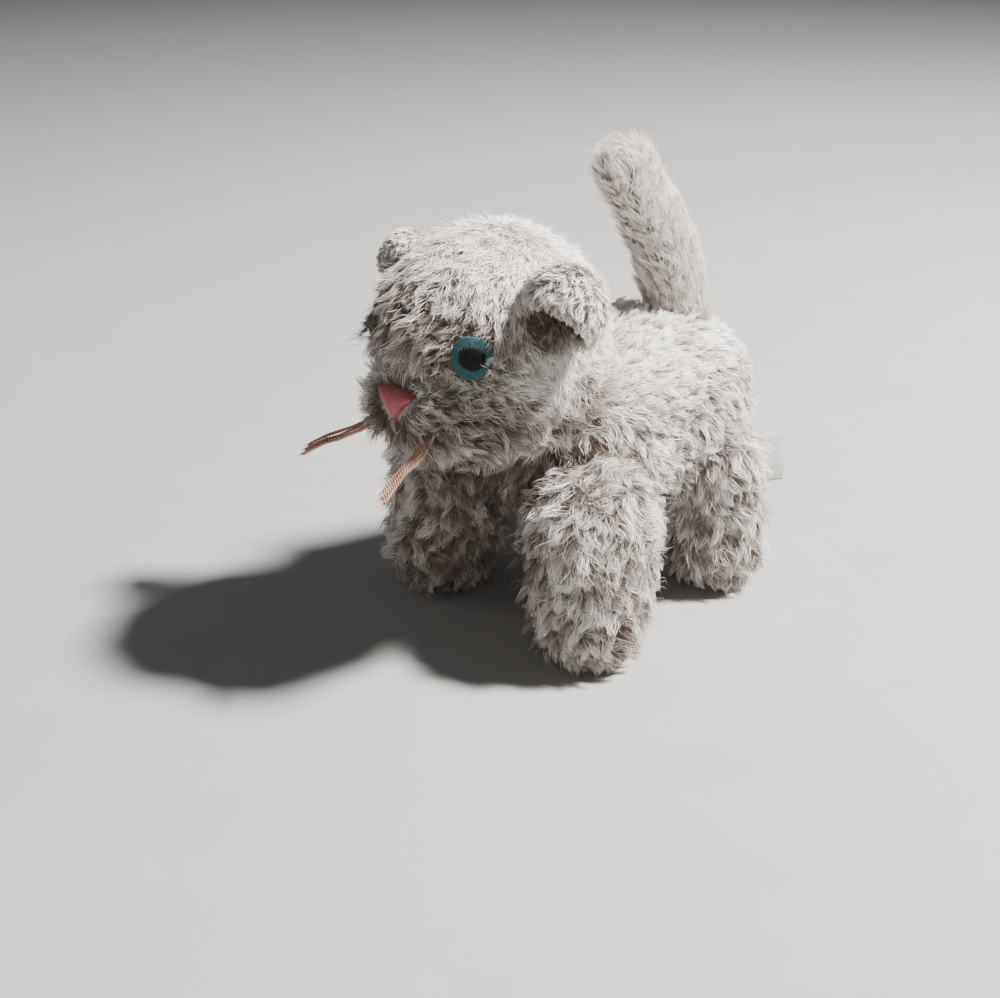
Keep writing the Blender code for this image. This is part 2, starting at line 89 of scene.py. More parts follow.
def add_studio():
    add_light("key_light", (0.34, 0.32, 0.66), 0.10, 34.0, (1.0, 0.98, 0.95))
    add_light("left_fill", (-0.55, -0.45, 0.40), 0.7, 0.5, (1.0, 0.92, 0.84))
    add_light("front_fill", (0.50, -0.55, 0.35), 0.5, 0.6, (1.0, 0.97, 0.94))
    world = bpy.data.worlds.new("studio")
    world.use_nodes = True
    sky = world.node_tree.nodes["Background"]
    sky.inputs["Color"].default_value = (0.93, 0.95, 1.0, 1.0)
    sky.inputs["Strength"].default_value = 0.10
    bpy.context.scene.world = world


# --- Node helpers -----------------------------------------------------------------------------------


def add_node(tree, kind, values=None, **settings):
    """A node with its settings and the values of its named inputs."""
    made = tree.nodes.new("ShaderNode" + kind)
    for key, value in settings.items():
        setattr(made, key, value)
    for key, value in (values or {}).items():
        made.inputs[key].default_value = value
    return made


def shader_group(name, inputs, outputs):
    """An empty node group with named sockets, and its two end nodes."""
    tree = bpy.data.node_groups.new(name, "ShaderNodeTree")
    for label, kind, value in inputs:
        made = tree.interface.new_socket(label, in_out="INPUT", socket_type="NodeSocket" + kind)
        if value is not None:
            made.default_value = value
    for label, kind in outputs:
        tree.interface.new_socket(label, in_out="OUTPUT", socket_type="NodeSocket" + kind)
    return tree, tree.nodes.new("NodeGroupInput"), tree.nodes.new("NodeGroupOutput")


def new_material(name, **plain):
    """A material with plain values set on its shader, and the tree and shader to wire up."""
    made = bpy.data.materials.new(name)
    made.use_nodes = True
    shader = made.node_tree.nodes["Principled BSDF"]
    for key, value in plain.items():
        shader.inputs[key.replace("_", " ").title()].default_value = value
    return made, made.node_tree, shader


def use_group(tree, group, values):
    made = add_node(tree, "Group")
    made.node_tree = group
    for key, value in values.items():
        made.inputs[key].default_value = value
    return made


def bump_from(tree, height, shader, strength, distance):
    bump = add_node(tree, "Bump", {"Strength": strength, "Distance": distance})
    tree.links.new(height, bump.inputs["Height"])
    tree.links.new(bump.outputs["Normal"], shader.inputs["Normal"])


# --- Shared effects ---------------------------------------------------------------------------------


def strand_tone_group():
    """A strand's colour from root to tip: tint runs from the shaded root colour over warm to pale. The dark
    root is painted shade, lighter on pale strands, and the paler tip is a painted highlight.
    """
    tree, ends, out = shader_group(
        "strand_tone",
        [
            ("Along", "Float", 0.5), ("Tint", "Float", 0.5),
            ("Root", "Color", (0.2, 0.15, 0.12, 1)), ("Warm", "Color", (0.5, 0.42, 0.36, 1)),
            ("Pale", "Color", (0.8, 0.77, 0.73, 1)),
        ],
        [("Color", "Color"), ("Roughness", "Float")],
    )
    link = tree.links.new
    dark = add_node(tree, "MapRange", {"From Min": 0.0, "From Max": 0.35})
    link(ends.outputs["Tint"], dark.inputs["Value"])
    brown = add_node(tree, "Mix", data_type="RGBA")
    link(dark.outputs["Result"], brown.inputs["Factor"])
    link(ends.outputs["Root"], brown.inputs["A"])
    link(ends.outputs["Warm"], brown.inputs["B"])
    light = add_node(tree, "MapRange", {"From Min": 0.3, "From Max": 0.95})
    link(ends.outputs["Tint"], light.inputs["Value"])
    coat = add_node(tree, "Mix", data_type="RGBA")
    link(light.outputs["Result"], coat.inputs["Factor"])
    link(brown.outputs["Result"], coat.inputs["A"])
    link(ends.outputs["Pale"], coat.inputs["B"])
    # Painted shade: the root end of each strand is darker, less so on pale strands.
    rise = add_node(
        tree, "MapRange", {"From Min": 0.1, "From Max": 0.75}, interpolation_type="SMOOTHSTEP"
    )
    link(ends.outputs["Along"], rise.inputs["Value"])
    lighter_root = add_node(tree, "Math", {1: 5.0}, operation="POWER")
    link(ends.outputs["Tint"], lighter_root.inputs[0])
    link(lighter_root.outputs["Value"], rise.inputs["To Min"])
    shaded = add_node(tree, "Mix", data_type="RGBA")
    link(rise.outputs["Result"], shaded.inputs["Factor"])
    link(ends.outputs["Root"], shaded.inputs["A"])
    link(coat.outputs["Result"], shaded.inputs["B"])
    # Painted highlight: the tip goes towards the pale colour, more on pale strands.
    share = add_node(tree, "Math", {1: 0.75}, operation="MULTIPLY")
    link(ends.outputs["Tint"], share.inputs[0])
    tip_highlight = add_node(tree, "MapRange", {"From Min": 0.45, "From Max": 1.0})
    link(ends.outputs["Along"], tip_highlight.inputs["Value"])
    link(share.outputs["Value"], tip_highlight.inputs["To Max"])
    highlighted = add_node(tree, "Mix", data_type="RGBA")
    link(tip_highlight.outputs["Result"], highlighted.inputs["Factor"])
    link(shaded.outputs["Result"], highlighted.inputs["A"])
    link(ends.outputs["Pale"], highlighted.inputs["B"])
    link(highlighted.outputs["Result"], out.inputs["Color"])
    worn = add_node(tree, "MapRange", {"To Min": 0.6, "To Max": 0.3})
    link(ends.outputs["Along"], worn.inputs["Value"])
    link(worn.outputs["Result"], out.inputs["Roughness"])
    return tree


def knit_group():
    """Backing cloth: rows of small knitted loops with a fuzzy nap over them."""
    tree, ends, out = shader_group(
        "knit_backing",
        [
            ("Rows", "Float", 900.0), ("Nap", "Float", 2600.0),
            ("Low", "Color", (0.2, 0.2, 0.2, 1)), ("High", "Color", (0.5, 0.5, 0.5, 1)),
        ],
        [("Color", "Color"), ("Roughness", "Float"), ("Height", "Float")],
    )
    link = tree.links.new
    place = add_node(tree, "TexCoord")
    rows = add_node(tree, "TexWave", {"Distortion": 2.0, "Detail": 1.0}, bands_direction="Z")
    link(place.outputs["Object"], rows.inputs["Vector"])
    link(ends.outputs["Rows"], rows.inputs["Scale"])
    columns = add_node(tree, "TexWave", {"Distortion": 3.0, "Detail": 1.0}, bands_direction="Y")
    link(place.outputs["Object"], columns.inputs["Vector"])
    link(ends.outputs["Rows"], columns.inputs["Scale"])
    nap = add_node(tree, "TexNoise", {"Detail": 4.0, "Roughness": 0.65})
    link(place.outputs["Object"], nap.inputs["Vector"])
    link(ends.outputs["Nap"], nap.inputs["Scale"])
    loops = add_node(tree, "Math", operation="MULTIPLY")
    link(rows.outputs["Fac"], loops.inputs[0])
    link(columns.outputs["Fac"], loops.inputs[1])
    height = add_node(tree, "Math", operation="ADD")
    link(loops.outputs["Value"], height.inputs[0])
    link(nap.outputs["Fac"], height.inputs[1])
    half = add_node(tree, "Math", {1: 0.5}, operation="MULTIPLY")
    link(height.outputs["Value"], half.inputs[0])
    tone = add_node(tree, "Mix", data_type="RGBA")
    link(half.outputs["Value"], tone.inputs["Factor"])
    link(ends.outputs["Low"], tone.inputs["A"])
    link(ends.outputs["High"], tone.inputs["B"])
    link(tone.outputs["Result"], out.inputs["Color"])
    worn = add_node(tree, "MapRange", {"To Min": 0.98, "To Max": 0.78})
    link(nap.outputs["Fac"], worn.inputs["Value"])
    link(worn.outputs["Result"], out.inputs["Roughness"])
    link(half.outputs["Value"], out.inputs["Height"])
    return tree


def thread_group():
    """Floss: fine fibres that twist round a thread, read from its own map."""
    tree, ends, out = shader_group(
        "twisted_floss",
        [
            ("Twist", "Float", 0.5), ("Fibres", "Float", 1.3),
            ("Low", "Color", (0.2, 0.2, 0.2, 1)), ("High", "Color", (0.5, 0.5, 0.5, 1)),
        ],
        [("Color", "Color"), ("Roughness", "Float"), ("Height", "Float")],
    )
    link = tree.links.new
    place = add_node(tree, "UVMap", uv_map=MAP)
    split = add_node(tree, "SeparateXYZ")
    link(place.outputs["UV"], split.inputs["Vector"])
    slant = add_node(tree, "Math", operation="MULTIPLY")
    link(split.outputs["Y"], slant.inputs[0])
    link(ends.outputs["Twist"], slant.inputs[1])
    turned = add_node(tree, "Math", operation="ADD")
    link(split.outputs["X"], turned.inputs[0])
    link(slant.outputs["Value"], turned.inputs[1])
    around = add_node(tree, "CombineXYZ")
    link(turned.outputs["Value"], around.inputs["X"])
    fibres = add_node(tree, "TexWave", {"Distortion": 1.2, "Detail": 2.0}, bands_direction="X")
    link(around.outputs["Vector"], fibres.inputs["Vector"])
    link(ends.outputs["Fibres"], fibres.inputs["Scale"])
    solid = add_node(tree, "TexCoord")
    mottle = add_node(tree, "TexNoise", {"Scale": 1400.0, "Detail": 3.0})
    link(solid.outputs["Object"], mottle.inputs["Vector"])
    blend = add_node(tree, "Mix", {"Factor": 0.45}, data_type="FLOAT")
    link(fibres.outputs["Fac"], blend.inputs["A"])
    link(mottle.outputs["Fac"], blend.inputs["B"])
    tone = add_node(tree, "Mix", data_type="RGBA")
    link(blend.outputs["Result"], tone.inputs["Factor"])
    link(ends.outputs["Low"], tone.inputs["A"])
    link(ends.outputs["High"], tone.inputs["B"])
    link(tone.outputs["Result"], out.inputs["Color"])
    worn = add_node(tree, "MapRange", {"To Min": 0.7, "To Max": 0.42})
    link(blend.outputs["Result"], worn.inputs["Value"])
    link(worn.outputs["Result"], out.inputs["Roughness"])
    link(fibres.outputs["Fac"], out.inputs["Height"])
    return tree


STRAND_TONE = strand_tone_group()
KNIT = knit_group()
FLOSS = thread_group()

# --- Materials --------------------------------------------------------------------------------------


def pile_material(name, root, warm, pale, sheen=0.3):
    made, tree, shader = new_material(name, sheen_weight=sheen, sheen_roughness=0.4)
    place = add_node(tree, "UVMap", uv_map=MAP)
    split = add_node(tree, "SeparateXYZ")
    tree.links.new(place.outputs["UV"], split.inputs["Vector"])
    tone = use_group(tree, STRAND_TONE, {"Root": (*root, 1), "Warm": (*warm, 1), "Pale": (*pale, 1)})
    tree.links.new(split.outputs["X"], tone.inputs["Tint"])
    tree.links.new(split.outputs["Y"], tone.inputs["Along"])
    tree.links.new(tone.outputs["Color"], shader.inputs["Base Color"])
    tree.links.new(tone.outputs["Roughness"], shader.inputs["Roughness"])
    return made


def woven_material(name, group, low, high, bump, depth, sheen=0.2, **sizes):
    made, tree, shader = new_material(name, sheen_weight=sheen, sheen_roughness=0.5)
    cloth = use_group(tree, group, {"Low": (*low, 1), "High": (*high, 1), **sizes})
    tree.links.new(cloth.outputs["Color"], shader.inputs["Base Color"])
    tree.links.new(cloth.outputs["Roughness"], shader.inputs["Roughness"])
    bump_from(tree, cloth.outputs["Height"], shader, bump, depth)
    return made


def floor_material():
    made, tree, shader = new_material("pale_floor", roughness=0.9)
    place = add_node(tree, "TexCoord")
    grain = add_node(tree, "TexNoise", {"Scale": 60.0, "Detail": 3.0})
    tree.links.new(place.outputs["Object"], grain.inputs["Vector"])
    tone = add_node(tree, "Mix", data_type="RGBA")
    tone.inputs["A"].default_value = (0.34, 0.338, 0.33, 1)
    tone.inputs["B"].default_value = (0.38, 0.377, 0.37, 1)
    tree.links.new(grain.outputs["Fac"], tone.inputs["Factor"])
    tree.links.new(tone.outputs["Result"], shader.inputs["Base Color"])
    return made


# Each pile's first colour is its root colour: painted shade at the strands' roots and in the lowest tints.
CREAM_PILE = pile_material(
    "cream_pile", (0.085, 0.055, 0.040), (0.36, 0.285, 0.235), (0.93, 0.885, 0.845)
)
LINING_NAP = pile_material("brown_nap", (0.03, 0.018, 0.012), (0.10, 0.055, 0.035), (0.30, 0.20, 0.15))
TEAL_FUZZ = pile_material("teal_fuzz", (0.015, 0.05, 0.055), (0.035, 0.12, 0.13), (0.10, 0.24, 0.25))
COPPER_FRAY = pile_material("copper_fray", (0.30, 0.13, 0.08), (0.48, 0.24, 0.16), (0.72, 0.46, 0.34))
# The backing's dark brown is partly painted shade between the locks.
BACKING = woven_material("cream_backing", KNIT, (0.24, 0.20, 0.17), (0.46, 0.41, 0.37), 0.6, 0.0003)
LINING = woven_material("brown_lining", KNIT, (0.022, 0.013, 0.009), (0.09, 0.055, 0.04), 0.6, 0.0003)
TEAL_FELT = woven_material(
    "teal_felt", KNIT, (0.015, 0.06, 0.068), (0.05, 0.15, 0.16), 0.5, 0.0002, 0.1, Rows=1500.0, Nap=4200.0
)
BLACK_THREAD = woven_material(
    "black_thread", FLOSS, (0.0008, 0.0008, 0.001), (0.005, 0.005, 0.006), 0.5, 0.0001, 0.0
)
BLACK_THREAD.node_tree.nodes["Principled BSDF"].inputs["Specular IOR Level"].default_value = 0.25
ROSE_THREAD = woven_material(
    "rose_thread", FLOSS, (0.22, 0.024, 0.034), (0.58, 0.115, 0.145), 0.5, 0.0001, 0.3
)
MAUVE_THREAD = woven_material("mauve_thread", FLOSS, (0.20, 0.08, 0.10), (0.38, 0.19, 0.21), 0.5, 0.0001)
COPPER_FLOSS = woven_material(
    "copper_floss", FLOSS, (0.20, 0.075, 0.045), (0.80, 0.46, 0.33), 0.6, 0.0001, 0.3
)

# --- Mesh helpers -----------------------------------------------------------------------------------


def link_object(name, mesh, look):
    made = bpy.data.objects.new(name, mesh)
    bpy.context.scene.collection.objects.link(made)
    mesh.materials.clear()
    mesh.materials.append(look)
    return made


def mesh_from_arrays(name, points, quads, triangles, spots=None):
    """A smooth mesh from point, quad and triangle arrays, with a map from spots, one for each point."""
    mesh = bpy.data.meshes.new(name)
    mesh.vertices.add(len(points))
    mesh.vertices.foreach_set("co", np.asarray(points, np.float32).ravel())
    corners = np.concatenate([quads.ravel(), triangles.ravel()]).astype(np.int32)
    mesh.loops.add(len(corners))
    mesh.loops.foreach_set("vertex_index", corners)
    first_triangle = quads.size
    starts = np.concatenate(
        [np.arange(len(quads)) * 4, first_triangle + np.arange(len(triangles)) * 3]
    ).astype(np.int32)
    mesh.polygons.add(len(starts))
    mesh.polygons.foreach_set("loop_start", starts)
    mesh.polygons.foreach_set("use_smooth", np.ones(len(starts), bool))
    if spots is not None:
        layer = mesh.uv_layers.new(name=MAP)
        layer.data.foreach_set("uv", np.asarray(spots, np.float32)[corners].ravel())
    mesh.update(calc_edges=True)
    return mesh


def read_points(mesh, kind="co"):
    values = np.zeros(len(mesh.vertices) * 3)
    source = mesh.vertices if kind == "co" else mesh.vertex_normals
    source.foreach_get(kind if kind == "co" else "vector", values)
    return values.reshape(-1, 3)


def write_points(mesh, points):
    mesh.vertices.foreach_set("co", np.asarray(points, np.float32).ravel())
    mesh.update()


def bake_modifiers(thing):
    """Replaces an object's mesh with what its modifiers make of it."""
    graph = bpy.context.evaluated_depsgraph_get()
    baked = bpy.data.meshes.new_from_object(thing.evaluated_get(graph))
    thing.modifiers.clear()
    thing.data = baked


def surface_tree(thing):
    mesh = thing.data
    mesh.calc_loop_triangles()
    return BVHTree.FromPolygons(
        [v.co[:] for v in mesh.vertices], [t.vertices[:] for t in mesh.loop_triangles]
    )


def unit(vectors):
    return vectors / np.maximum(np.linalg.norm(vectors, axis=-1, keepdims=True), 1e-12)


def smooth_step(low, high, value):
    share = np.clip((value - low) / (high - low), 0.0, 1.0)
    return share * share * (3 - 2 * share)


def drift(points, size, seed):
    """A smooth random number from about -1 to 1 at each point, which changes over about size."""
    rng = np.random.default_rng(seed)
    ways = unit(rng.normal(size=(7, 3))).T
    speeds = 2 * math.pi / size * rng.uniform(0.6, 1.4, 7)
    starts = rng.uniform(0, 2 * math.pi, 7)
    return np.sin(points @ ways * speeds + starts).mean(axis=1) * 1.9


# --- Stuffed skins ----------------------------------------------------------------------------------

SKIN_OUT = 1.1 * MM  # from the filling to the outside of the skin
SKIN_GIVE = 0.35 * MM  # how far pressure may move the skin in or out from there
SKIN_SLIDE = 0.4 * MM  # and how far it may slide sideways
SEAM_DEPTH = 0.45 * MM
SEAM_HALF_WIDTH = 0.8 * MM
SIM_SCALE = 10.0  # the cloth solver is steadier on a larger model
SIM_FRAMES = 20


def swell_by_pressure(thing):
    """Blows the skin up with cloth pressure, and returns where its points go."""
    cloth = thing.modifiers.new("pressure", "CLOTH")
    settings = cloth.settings
    settings.quality = 5
    settings.mass = 0.3
    settings.tension_stiffness = 12
    settings.compression_stiffness = 12
    settings.shear_stiffness = 8
    settings.bending_stiffness = 0.6
    settings.use_pressure = True
    settings.uniform_pressure_force = 4.0
    settings.effector_weights.gravity = 0.0
    cloth.point_cache.frame_start = 1
    cloth.point_cache.frame_end = SIM_FRAMES
    scene = bpy.context.scene
    for step in range(1, SIM_FRAMES + 1):
        scene.frame_set(step)
    graph = bpy.context.evaluated_depsgraph_get()
    swollen = read_points(thing.evaluated_get(graph).data)
    thing.modifiers.clear()
    scene.frame_set(1)
    return swollen


def stuffed_skin(name, filling, voxel, seam=None):
    """A stuffed piece's skin, from the frame's filling, sewn along seam(points) = 0."""
    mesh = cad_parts[filling].data.copy()
    mesh.transform(Matrix.Scale(SIM_SCALE, 4))
    skin = link_object(name, mesh, BACKING)
    remesh = skin.modifiers.new("even cloth", "REMESH")
    remesh.mode = "VOXEL"
    remesh.voxel_size = voxel * SIM_SCALE
    soften = skin.modifiers.new("soft edges", "SMOOTH")
    soften.factor = 0.5
    soften.iterations = 4
    bake_modifiers(skin)
    start = read_points(skin.data)
    normals = read_points(skin.data, "normal")
    moved = (swell_by_pressure(skin) - start) / SIM_SCALE
    outward = np.sum(moved * normals, axis=1)
    sideways = moved - outward[:, None] * normals
    reach = np.maximum(np.linalg.norm(sideways, axis=1), 1e-9)
    sideways *= np.minimum(1.0, SKIN_SLIDE / reach)[:, None]
    swollen = np.clip(outward, SKIN_OUT - SKIN_GIVE, SKIN_OUT + SKIN_GIVE)
    points = start / SIM_SCALE + normals * swollen[:, None] + sideways
    if seam is not None:
        depth = SEAM_DEPTH * np.exp(-((seam(points) / SEAM_HALF_WIDTH) ** 2))
        points = points - normals * depth[:, None]
    write_points(skin.data, points)
    finer = skin.modifiers.new("finer cloth", "SUBSURF")
    finer.levels = 1
    finer.render_levels = 1
    bake_modifiers(skin)
    skin.data.materials.clear()
    skin.data.materials.append(BACKING)
    skin.data.shade_smooth()
    return skin


def make_room(skin, others, gap):
    """Pushes a skin's points back from its neighbours' skins."""
    points = read_points(skin.data)
    for other in others:
        tree = surface_tree(other)
        corners = read_points(other.data)
        low, high = corners.min(0), corners.max(0)
        close = np.all((points > low - gap) & (points < high + gap), axis=1)
        for i in np.flatnonzero(close):
            spot = Vector(points[i])
            hit, outward, _, _ = tree.find_nearest(spot)
            clear = (spot - hit).dot(outward)
            if clear < gap:
                points[i] += np.array(outward) * (gap - clear)
    write_points(skin.data, points)


# --- Pile -------------------------------------------------------------------------------------------

SHORT, LONG = 4, 5  # points along a strand, and the last one is its tip
FLOOR_GAP = 0.12 * MM


def scatter(skin, per_mm2, rng):
    """Random spots over a skin, with its normals there."""
    mesh = skin.data
    mesh.calc_loop_triangles()
    corners = np.zeros(len(mesh.loop_triangles) * 3, np.int32)
    mesh.loop_triangles.foreach_get("vertices", corners)
    corners = corners.reshape(-1, 3)
    points, normals = read_points(mesh), read_points(mesh, "normal")
    a, b, c = (points[corners[:, i]] for i in range(3))
    area = np.linalg.norm(np.cross(b - a, c - a), axis=1) / 2
    count = int(area.sum() / MM**2 * per_mm2)
    chosen = rng.choice(len(area), count, p=area / area.sum())
    u, v = rng.random(count), rng.random(count)
    over = u + v > 1
    u[over], v[over] = 1 - u[over], 1 - v[over]
    shares = np.stack([1 - u - v, u, v], axis=1)[:, :, None]
    spots = (points[corners[chosen]] * shares).sum(axis=1)
    facing = unit((normals[corners[chosen]] * shares).sum(axis=1))
    return spots, facing


def comb_strands(root, normal, way, length, lift, curl, phase, stations):
    """Points along strands that leave the cloth steeply, lie over towards way and wave sideways."""
    side = np.cross(normal, way)
    points = [root - normal * 0.1 * MM]
    step = (length / (stations - 1))[:, None]
    for i in range(stations - 1):
        share = (i + 0.5) / (stations - 1)
        up = (lift * (1.65 - 1.2 * share))[:, None]
        turn = (curl * np.sin(2 * math.pi * 0.9 * share + phase))[:, None]
        ahead = way * np.cos(turn) + side * np.sin(turn)
        points.append(points[-1] + step * (normal * np.sin(up) + ahead * np.cos(up)))
    return np.stack(points, axis=1)


def find_locks(roots, per_lock, rng):
    """Which lock each strand belongs to, and the strand that each lock follows."""
    guides = rng.choice(len(roots), max(1, len(roots) // per_lock), replace=False)
    tree = KDTree(len(guides))
    for i, guide in enumerate(guides):
        tree.insert(roots[guide], i)
    tree.balance()
    return np.array([tree.find(spot)[1] for spot in roots]), guides


def gather_locks(paths, lock, guides, pull):
    """Pulls each strand over to its lock's leading strand, more and more towards its tip."""
    share = (np.linspace(0, 1, paths.shape[1]) ** 1.3)[None, :, None] * pull[:, None, None]
    return paths * (1 - share) + paths[guides[lock]] * share


def lay_over(paths, skins, gap):
    """Lifts strand points out of the skins they lie against."""
    for skin in skins:
        tree = surface_tree(skin)
        corners = read_points(skin.data)
        low, high = corners.min(0) - gap, corners.max(0) + gap
        close = np.all((paths > low) & (paths < high), axis=2)
        close[:, 0] = False
        for i, j in np.argwhere(close):
            spot = Vector(paths[i, j])
            hit, outward, _, _ = tree.find_nearest(spot)
            clear = (spot - hit).dot(outward)
            if clear < gap:
                paths[i, j] += np.array(outward) * (gap - clear)


def ribbon_mesh(name, paths, normal, width, roll, tint):
    """A mesh of flat tapered strands. The map holds each strand's tint across and its share along."""
    along = unit(np.gradient(paths, axis=1))
    flat = unit(np.cross(along, normal[:, None, :]))
    lifted = np.cross(flat, along)
    across = flat * np.cos(roll)[:, None, None] + lifted * np.sin(roll)[:, None, None]
    count, pairs = len(paths), paths.shape[1] - 1
    share = np.arange(pairs) / pairs
    half = (width[:, None] * ((1 - share**2.2) * (0.8 + 0.4 * share))[None] / 2)[:, :, None]
    left = paths[:, :-1] - across[:, :-1] * half
    right = paths[:, :-1] + across[:, :-1] * half
    points = np.concatenate(
        [np.stack([left, right], axis=2).reshape(count, pairs * 2, 3), paths[:, -1:]], axis=1
    )
    each = pairs * 2 + 1
    first = (np.arange(count) * each)[:, None, None]
    rungs = np.array([(2 * i, 2 * i + 1, 2 * i + 3, 2 * i + 2) for i in range(pairs - 1)])
    quads = (first + rungs[None]).reshape(-1, 4)
    tips = (first[:, 0] + np.array([each - 3, each - 2, each - 1])[None]).reshape(-1, 3)
    shares = np.append(np.repeat(np.arange(pairs), 2), pairs) / pairs
    edge = np.append(np.tile([-0.004, 0.004], pairs), 0.0)
    spots = np.zeros((count, each, 2))
    spots[:, :, 0] = np.clip(tint, 0.02, 0.98)[:, None] + edge[None]
    spots[:, :, 1] = 0.01 + 0.98 * shares[None]
    return mesh_from_arrays(name, points.reshape(-1, 3), quads, tips, spots.reshape(-1, 2))


def grow_pile(name, skin, body, coat, look=CREAM_PILE, neighbours=(), seed=1):
    """A combed pile on a skin. coat(spots, normals) gives a dictionary of what varies over the skin."""
    rng = np.random.default_rng(seed)
    spots, normals = scatter(skin, coat["per_mm2"], rng)
    fields = coat["fields"](spots, normals)
    keep = fields["keep"] > rng.random(len(spots))
    for other in neighbours:
        tree = surface_tree(other)
        low, high = read_points(other.data).min(0) - 2 * MM, read_points(other.data).max(0) + 2 * MM
        close = keep & np.all((spots > low) & (spots < high), axis=1)
        for i in np.flatnonzero(close):
            spot = Vector(spots[i])
            hit, outward, _, _ = tree.find_nearest(spot)
            if (spot - hit).dot(outward) < 0.9 * MM:
                keep[i] = False
    spots, normals = spots[keep], normals[keep]
    fields = {key: value[keep] for key, value in fields.items()}
    count = len(spots)
    way = fields["way"] - normals * np.sum(fields["way"] * normals, axis=1)[:, None]
    way = unit(way + 1e-6)
    shag = fields["shag"]
    lock, guides = find_locks(spots, coat.get("per_lock", 9), rng)
    lock_turn, lock_lift, lock_tint = (rng.normal(0, 1, len(guides))[lock] for _ in range(3))
    swirl = fields["swirl"] * drift(spots, coat.get("swirl_size", 9 * MM), seed + 5)
    swirl += 0.34 * shag * lock_turn + rng.normal(0, coat.get("spread", 0.2), count)
    side = np.cross(normals, way)
    way = way * np.cos(swirl)[:, None] + side * np.sin(swirl)[:, None]
    length = fields["length"] * rng.uniform(0.78, 1.15, count) * (1 + 0.10 * shag * lock_lift)
    stray = rng.random(count) < coat.get("stray", 0.02)
    lift = fields["lift"] + rng.normal(0, 0.08, count) + 0.12 * drift(spots, 4 * MM, seed + 9)
    lift += 0.14 * shag * lock_lift
    lift = np.where(stray, lift + rng.uniform(0.2, 0.7, count), lift)
    phase = 2 * math.pi * drift(spots, 5 * MM, seed + 11) + rng.normal(0, 0.5, count)
    curl = coat.get("curl", 0.45) * rng.uniform(0.4, 1.3, count)
    lift = np.clip(lift, 0.06, 1.15)
    paths = comb_strands(spots, normals, way, length, lift, curl, phase, coat.get("stations", SHORT))
    pull = np.where(stray, 0.0, (0.30 + 0.58 * shag) * rng.uniform(0.8, 1.1, count))
    paths = gather_locks(paths, lock, guides, np.clip(pull, 0, 0.96))
    lay_over(paths, neighbours, 0.25 * MM)
    paths[:, :, 2] = np.maximum(paths[:, :, 2], FLOOR_GAP)
    tint = fields["tint"] + (0.04 + 0.17 * shag) * lock_tint + rng.normal(0, 0.12, count)
    width = coat.get("width", 0.12 * MM) * rng.uniform(0.6, 1.4, count)
    width = np.where(stray, width * 0.5, width)
    roll = rng.normal(0, 0.55, count)
    mesh = ribbon_mesh(name, paths, normals, width, roll, tint)
    pile = link_object(name, mesh, look)
    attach(pile, body)
    return pile


def fields_of(spots, way, length, lift, tint=0.7, swirl=0.3, keep=1.0, shag=0.6):
    """What varies over a skin, with every value spread to one for each spot."""
    one = np.ones(len(spots))
    return {
        "way": way * one[:, None], "length": length * one, "lift": lift * one,
        "tint": tint * one, "swirl": swirl * one, "keep": keep * one, "shag": shag * one,
    }


# --- Where things are, from the frame ---------------------------------------------------------------


def middle(node):
    low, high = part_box(node)
    return (low + high) / 2


head_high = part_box("head_stuffing")[1]
HEAD_R = head_high.x + SKIN_OUT
HEAD = np.array([0.0, head_high.y - head_high.x, head_high.z - head_high.x])
NOSE = np.array(middle("nose_stitching"))
nose_low, nose_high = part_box("nose_stitching")
mouth_low, mouth_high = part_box("mouth_stitching")
TORSO = np.array(middle("torso_stuffing"))
BELLY_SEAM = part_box("belly_skin")[1].z
tail_low, tail_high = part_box("tail_stuffing")
LEG_NAMES = [end + "_" + side for end in ("front", "rear") for side, _ in SIDES]
LEG_TOPS = {}
for leg in LEG_NAMES:
    low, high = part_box("leg_" + leg + "_stuffing")
    LEG_TOPS[leg] = np.array([(low.x + high.x) / 2, (low.y + high.y) / 2, high.z - (high.x - low.x) / 2])
EAR_FACING = {"left": unit(np.array([-0.02, -0.76, -0.66])), "right": unit(np.array([0.06, -0.74, -0.67]))}
EYES = {}
EAR_HOLES = {}
for side_name, sign in SIDES:
    ear_hole = np.array(middle("ear_" + side_name + "_lining")) + EAR_FACING[side_name] * 4.5 * MM
    ear_hole += np.array([-0.6 * sign, 1.4, 1.8]) * MM
    EAR_HOLES[side_name] = HEAD + unit(ear_hole - HEAD) * HEAD_R
    EYES[side_name] = unit(np.array(middle("eye_" + side_name + "_pupil")) - HEAD)
IRIS_R = 3.4 * MM
FELT_LOW = 0.25 * MM  # the eye's felt disc starts this far off the head
FELT_THICK = 0.45 * MM
PUPIL_R = 2.0 * MM

# --- Coats: how the pile lies on each piece ---------------------------------------------------------


